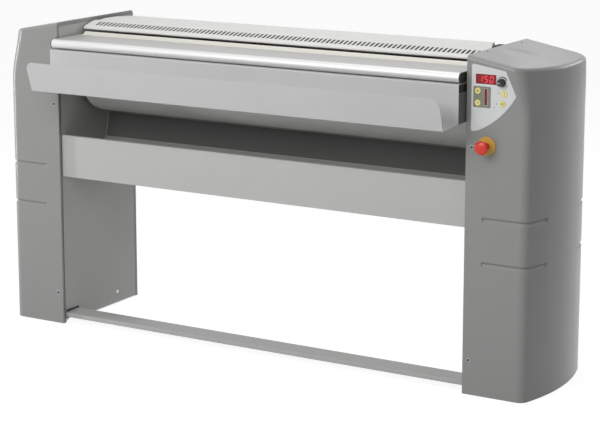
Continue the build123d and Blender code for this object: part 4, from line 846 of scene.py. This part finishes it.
class IRONER_OT_chest(Operator):
    """Finishes the heated chest and lays its mineral wool mat."""

    bl_idname = "ironer.chest"
    bl_label = "Heated chest"

    def execute(self, context):
        dress("chest_plate", "heating_elements", "chest_arms", "chest_link_pins", "chest_pivot_bolts",
              "thermostat")
        dress("chest_jacket", finish="jacket_steel")
        # At rest the chest is swung open, so the mat's arc turns with it round the chest's pivot.
        lean, arc_from, arc_to, arc_steps = -2.5, -44.0, 85.0, 44
        near, far, long_steps = 144.0 * MM, 155.6 * MM, 48
        pivot = Vector((0, COLUMN_FRONT + 372 * MM, 610 * MM))
        roll = middle_of("roll_padding")
        arm = Vector((0, roll.y - pivot.y, roll.z - pivot.z))
        centre = pivot + Matrix.Rotation(math.radians(lean), 3, "X") @ arm
        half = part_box("chest_insulation")[1][0]
        rows = []
        for i in range(long_steps + 1):
            x = half * (2 * i / long_steps - 1)
            row = []
            for radius, angles in ((near, range(arc_steps + 1)), (far, range(arc_steps, -1, -1))):
                for j in angles:
                    a = math.radians(lean + arc_from + (arc_to - arc_from) * j / arc_steps)
                    tuft = noise.noise(Vector((x * 60, j * 1.7, radius * 900)))
                    r = radius + (0.4 * MM * (tuft - 0.6) if radius == far else 0.0)
                    end = 0.7 * MM * (1 + noise.noise(Vector((j * 2.1, radius * 2000, i))))
                    inset = math.copysign(end, -x) if i in (0, long_steps) else 0.0
                    row.append((x + inset, centre.y + r * math.cos(a), centre.z + r * math.sin(a)))
            rows.append(row)
        mesh = bmesh.new()
        made = ring_mesh(mesh, rows, closed_ends=False)
        count = len(made[0])
        for row in (made[0], made[-1]):
            for j in range(arc_steps):
                mesh.faces.new((row[j], row[j + 1], row[count - 2 - j], row[count - 1 - j]))
        piece = keep("wool_mat", mesh, "chest", "insulation")
        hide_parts("chest_insulation")
        return {"FINISHED"}


class IRONER_OT_pedal(Operator):
    """Finishes the foot bar, its levers, links and springs."""

    bl_idname = "ironer.pedal"
    bl_label = "Foot bar"

    def execute(self, context):
        dress("pedal_bar", "pedal_levers", "pedal_link_pins", "pedal_pivot_bolts", "link_rods",
              "pedal_springs", "spring_anchors")
        return {"FINISHED"}


class IRONER_OT_panels(Operator):
    """Finishes the hood, the feed table, the laundry tray and the collecting trough."""

    bl_idname = "ironer.panels"
    bl_label = "Hood, table, tray and trough"

    def execute(self, context):
        dress("hood_cover", "feed_table", "feed_table_end_caps", "laundry_tray", "collecting_trough")
        return {"FINISHED"}


class IRONER_OT_control_panel(Operator):
    """Finishes the panel film and prints its field, frame lines and knob scale."""

    bl_idname = "ironer.control_panel"
    bl_label = "Control panel"

    def execute(self, context):
        dress("control_panel", "control_board")
        ink = context.scene.ironer_sizes.ink
        where = to_front(0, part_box("control_panel")[0][1], 0)

        gap, button_hole = 1.0 * MM, 9.4 * MM
        low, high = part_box("level_bar")
        holes = [circle(button_hole, (point.x, point.z))
                 for point in (middle_of("plus_button"), middle_of("minus_button"))]
        holes.append(rounded((low[0] - gap, low[2] - gap), (high[0] + gap, high[2] + gap), 0.4 * MM))
        field = bmesh.new()
        prism(field, [rounded((741 * MM, 848 * MM), (795 * MM, 908 * MM), 3 * MM), *holes], where, 0, ink)
        keep("panel_field", field, "frame", "panel_grey", "field_ink", smooth=False)

        grow, width = 2.2 * MM, 0.8 * MM
        low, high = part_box("display_window")
        a, b = (low[0] - grow, low[2] - grow), (high[0] + grow, high[2] + grow)
        lines = bmesh.new()
        prism(lines, [rounded((a[0] - width, a[1] - width), (b[0] + width, b[1] + width), 2.4 * MM),
                      rounded(a, b, 1.6 * MM)], where, 0, ink)
        keep("panel_lines", lines, "frame", "panel_grey", "white_ink", smooth=False)

        # The knob's scale is a wedge that widens as the speed rises, with a dot at each end.
        knob, inside, steps = middle_of("speed_knob"), 14.4 * MM, 40
        outer_arc, inner_arc = [], []
        for i in range(steps + 1):
            share = i / steps
            a = math.radians(165 - 140 * share)
            outside = inside + (0.8 + 3.0 * share) * MM
            outer_arc.append((knob.x + outside * math.cos(a), knob.z + outside * math.sin(a)))
            inner_arc.append((knob.x + inside * math.cos(a), knob.z + inside * math.sin(a)))
        marks = bmesh.new()
        prism(marks, [outer_arc + inner_arc[::-1]], where, 0, ink)
        dots = [(knob.x + side * 15 * MM, knob.z - 9 * MM, 1.4 * MM) for side in (-1, 1)]
        dots += [(x * MM, z * MM, size * MM) for x, z, size in ((818, 893, 1.6), (812, 862, 1.6),
                                                                (806, 852, 1.2))]
        for x, z, size in dots:
            prism(marks, [circle(size, (x, z), 16)], where, 0, ink)
        keep("panel_marks", marks, "frame", "panel_grey", "dark_ink", smooth=False)
        return {"FINISHED"}


# Each segment of a figure runs between two corners, given in widths and half heights.
SEGMENTS = {"a": (0, 2, 1, 2), "b": (1, 2, 1, 1), "c": (1, 1, 1, 0), "d": (0, 0, 1, 0), "e": (0, 1, 0, 0),
            "f": (0, 2, 0, 1), "g": (0, 1, 1, 1)}
FIGURES = {"1": "bc", "5": "acdfg", "0": "abcdef"}


class IRONER_OT_display(Operator):
    """Lights the display's figures and the level bar's segments."""

    bl_idname = "ironer.display"
    bl_label = "Display"

    def execute(self, context):
        dress("display_window", "level_bar")
        ink, tall = context.scene.ironer_sizes.ink, context.scene.ironer_sizes.figure
        wide, stroke, pitch, gap, slant = tall * 0.52, tall * 0.15, tall * 0.98, 0.12, 0.12
        low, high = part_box("display_window")
        where = to_front((low[0] + high[0]) / 2, low[1], (low[2] + high[2]) / 2)
        figures = bmesh.new()
        for place, figure in enumerate("150"):
            left = (place - 1) * pitch - wide / 2
            for segment in FIGURES[figure]:
                x0, y0, x1, y1 = SEGMENTS[segment]
                a = Vector((left + x0 * wide, (y0 - 1) * tall / 2))
                b = Vector((left + x1 * wide, (y1 - 1) * tall / 2))
                run = (b - a).normalized()
                side = Vector((-run.y, run.x)) * stroke / 2
                a, b = a + run * stroke * gap, b - run * stroke * gap
                tip = run * stroke / 2
                outline = [a, a + tip + side, b - tip + side, b, b - tip - side, a + tip - side]
                prism(figures, [[(p.x + slant * p.y, p.y) for p in outline]], where, 0, ink)
        keep("display_figures", figures, "frame", "window_dark", "figure_glow", smooth=False)

        count, half, border, share = 10, 2.8 * MM, 2 * MM, 0.32
        low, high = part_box("level_bar")
        where = to_front((low[0] + high[0]) / 2, low[1], 0)
        step = (high[2] - low[2] - 2 * border) / count
        levels = bmesh.new()
        for i in range(count):
            z = low[2] + border + step * (i + 0.5)
            prism(levels, [rounded((-half, z - step * share), (half, z + step * share), 0.4 * MM, 3)],
                  where, 0, ink)
        keep("level_segments", levels, "frame", "bar_red", "level_glow", smooth=False)
        return {"FINISHED"}


class IRONER_OT_buttons(Operator):
    """Finishes the push buttons and prints their signs."""

    bl_idname = "ironer.buttons"
    bl_label = "Push buttons"

    def execute(self, context):
        dress("plus_button", "minus_button", "start_button", "stop_button")
        ink, ground, thin, long = context.scene.ironer_sizes.ink, 6.6 * MM, 0.9 * MM, 3.4 * MM
        upright = [(-thin, -long), (thin, -long), (thin, long), (-thin, long)]
        lying = [(-long, -thin), (long, -thin), (long, thin), (-long, thin)]
        cross = [(-long, -thin), (-thin, -thin), (-thin, -long), (thin, -long), (thin, -thin), (long, -thin),
                 (long, thin), (thin, thin), (thin, long), (-thin, long), (-thin, thin), (-long, thin)]
        signs = {"plus": [cross], "minus": [lying], "start": [upright],
                 "stop": [circle(3.6 * MM), circle(2.2 * MM)]}
        for body, sign in signs.items():
            node = f"{body}_button"
            spot = middle_of(node)
            where = to_front(spot.x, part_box(node)[0][1], spot.z)
            pale = bmesh.new()
            prism(pale, [circle(ground)], where, 0, ink / 2)
            keep(f"{body}_sign_ground", pale, body, "button_yellow", "pale_ink", smooth=False)
            mark = bmesh.new()
            prism(mark, sign, where, ink / 2, 1.5 * ink)
            keep(f"{body}_sign", mark, body, "button_yellow", "dark_ink", smooth=False)
        return {"FINISHED"}


class IRONER_OT_knob(Operator):
    """Makes the fluted speed knob with its white pointer, in place of the plain one."""

    bl_idname = "ironer.knob"
    bl_label = "Speed knob"

    def execute(self, context):
        spot, face = middle_of("speed_knob"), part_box("control_panel")[0][1]
        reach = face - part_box("speed_knob")[0][1]
        where = to_front(spot.x, face, spot.z)

        def grip(r, h, a):
            """Flutes on the grip, none on the skirt, the front or the shaft."""
            fluted = 3 * MM < h < reach - 1.2 * MM and r > 8 * MM
            return r - (flute(0.5 * MM, 20, a) if fluted else 0.0)

        # From the shaft behind the panel over the skirt and the grip to the dished front.
        profile = [(3 * MM, -9 * MM), (3 * MM, 0.5 * MM), (12 * MM, 0.5 * MM), (12 * MM, 2.2 * MM),
                   (11.4 * MM, 2.9 * MM), (10.9 * MM, 3.4 * MM), (10.4 * MM, reach - 2 * MM),
                   (9.9 * MM, reach - 0.9 * MM), (8.6 * MM, reach), (7.4 * MM, reach - 0.5 * MM),
                   (1 * MM, reach - 0.6 * MM)]
        mesh = bmesh.new()
        turned(mesh, profile, where, 120, grip)
        knob = keep("knob_grip", mesh, "knob", "black_plastic")
        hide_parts("speed_knob")
        pointer = bmesh.new()
        prism(pointer, [rounded((-8.2 * MM, -0.8 * MM), (-1.0 * MM, 0.8 * MM), 0.4 * MM, 3)], where,
              reach - 0.6 * MM, reach)
        keep("knob_pointer", pointer, "knob", "black_plastic", "white_ink", smooth=False)
        return {"FINISHED"}


class IRONER_OT_stop(Operator):
    """Finishes the stop button and turns its mushroom head."""

    bl_idname = "ironer.stop"
    bl_label = "Stop button"

    def execute(self, context):
        dress("estop_stem", "estop_contact_block")
        dress("estop_ring", finish="stop_ring")
        low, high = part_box("estop_head")
        spot = middle_of("estop_head")
        where = to_front(spot.x, high[1], spot.z)
        tall, wide, crown = high[1] - low[1], (high[0] - low[0]) / 2, 8 * MM

        def ribs(r, h, a):
            """Small ribs under the rim, for the fingers."""
            return r - (flute(0.35 * MM, 36, a) if 7 * MM < h < 14 * MM and r > 0.9 * wide else 0.0)

        # From the stem out along the underside, up the rim and over the crown.
        profile = [(10.05 * MM, 0), (13 * MM, 0.2 * MM), (13.6 * MM, 6.2 * MM), (wide * 0.96, 10 * MM),
                   (wide * 0.985, 12 * MM), (wide, tall - 7.6 * MM)]
        profile += [(wide * math.sin(math.radians(a)), tall - crown + crown * math.cos(math.radians(a)))
                    for a in range(78, 0, -6)]
        mesh = bmesh.new()
        turned(mesh, profile, where, 144, ribs)
        piece = keep("stop_head", mesh, "estop_head_body", "stop_red")
        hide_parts("estop_head")
        return {"FINISHED"}


class IRONER_OT_gland(Operator):
    """Makes the ribbed cable gland, in place of the plain one."""

    bl_idname = "ironer.gland"
    bl_label = "Cable gland"

    def execute(self, context):
        spot = middle_of("cable_gland")
        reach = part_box("cable_gland")[1][1] - COLUMN_BACK
        where = to_back(spot.x, COLUMN_BACK, spot.z)

        def ribs(r, h, a):
            """Ribs on the cap nut, none on its end or in its bore."""
            return r - (flute(0.6 * MM, 18, a) if h > 6.2 * MM and r > 10 * MM else 0.0)

        thread = [(6 * MM, -20 * MM), (11.9 * MM, -20 * MM), (11.9 * MM, 0)]
        cap = [(11 * MM, 6 * MM), (12 * MM, 7 * MM), (11.8 * MM, 10 * MM), (10.4 * MM, reach - 1.4 * MM),
               (8.6 * MM, reach), (6 * MM, reach), (5.6 * MM, reach - 3 * MM)]
        hexagon = ((14.4, 0), (16.0, 0.8), (16.0, 5.2), (14.4, 6.0))
        mesh = bmesh.new()
        turned(mesh, thread, where, 48)
        turned(mesh, [(radius * MM, height * MM) for radius, height in hexagon], where, 6)
        turned(mesh, cap, where, 108, ribs)
        piece = keep("gland_body", mesh, "frame", "black_plastic")
        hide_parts("cable_gland")
        return {"FINISHED"}


class IRONER_PT_panel(Panel):
    """Lists the ironer's steps."""

    bl_label = "Flatwork Ironer"
    bl_idname = "IRONER_PT_panel"
    bl_space_type = "VIEW_3D"
    bl_region_type = "UI"
    bl_category = "Ironer"

    def draw(self, context):
        for step in STEPS:
            self.layout.operator(step.bl_idname)


STEPS = (IRONER_OT_stage, IRONER_OT_columns, IRONER_OT_steelwork, IRONER_OT_screws, IRONER_OT_trim,
         IRONER_OT_vents, IRONER_OT_strips, IRONER_OT_roll, IRONER_OT_drive, IRONER_OT_chest,
         IRONER_OT_pedal, IRONER_OT_panels, IRONER_OT_control_panel, IRONER_OT_display,
         IRONER_OT_buttons, IRONER_OT_knob, IRONER_OT_stop, IRONER_OT_gland)
CLASSES = (IronerColours, IronerSizes, *STEPS, IRONER_PT_panel)


def register():
    for each in CLASSES:
        bpy.utils.register_class(each)
    bpy.types.Scene.ironer_colours = PointerProperty(type=IronerColours)
    bpy.types.Scene.ironer_sizes = PointerProperty(type=IronerSizes)


def unregister():
    del bpy.types.Scene.ironer_sizes
    del bpy.types.Scene.ironer_colours
    for each in reversed(CLASSES):
        bpy.utils.unregister_class(each)


def main():
    register()
    bpy.ops.ironer.stage()
    bpy.ops.ironer.columns()
    bpy.ops.ironer.steelwork()
    bpy.ops.ironer.screws()
    bpy.ops.ironer.trim()
    bpy.ops.ironer.vents()
    bpy.ops.ironer.strips()
    bpy.ops.ironer.roll()
    bpy.ops.ironer.drive()
    bpy.ops.ironer.chest()
    bpy.ops.ironer.pedal()
    bpy.ops.ironer.panels()
    bpy.ops.ironer.control_panel()
    bpy.ops.ironer.display()
    bpy.ops.ironer.buttons()
    bpy.ops.ironer.knob()
    bpy.ops.ironer.stop()
    bpy.ops.ironer.gland()


if __name__ == "__main__":
    main()
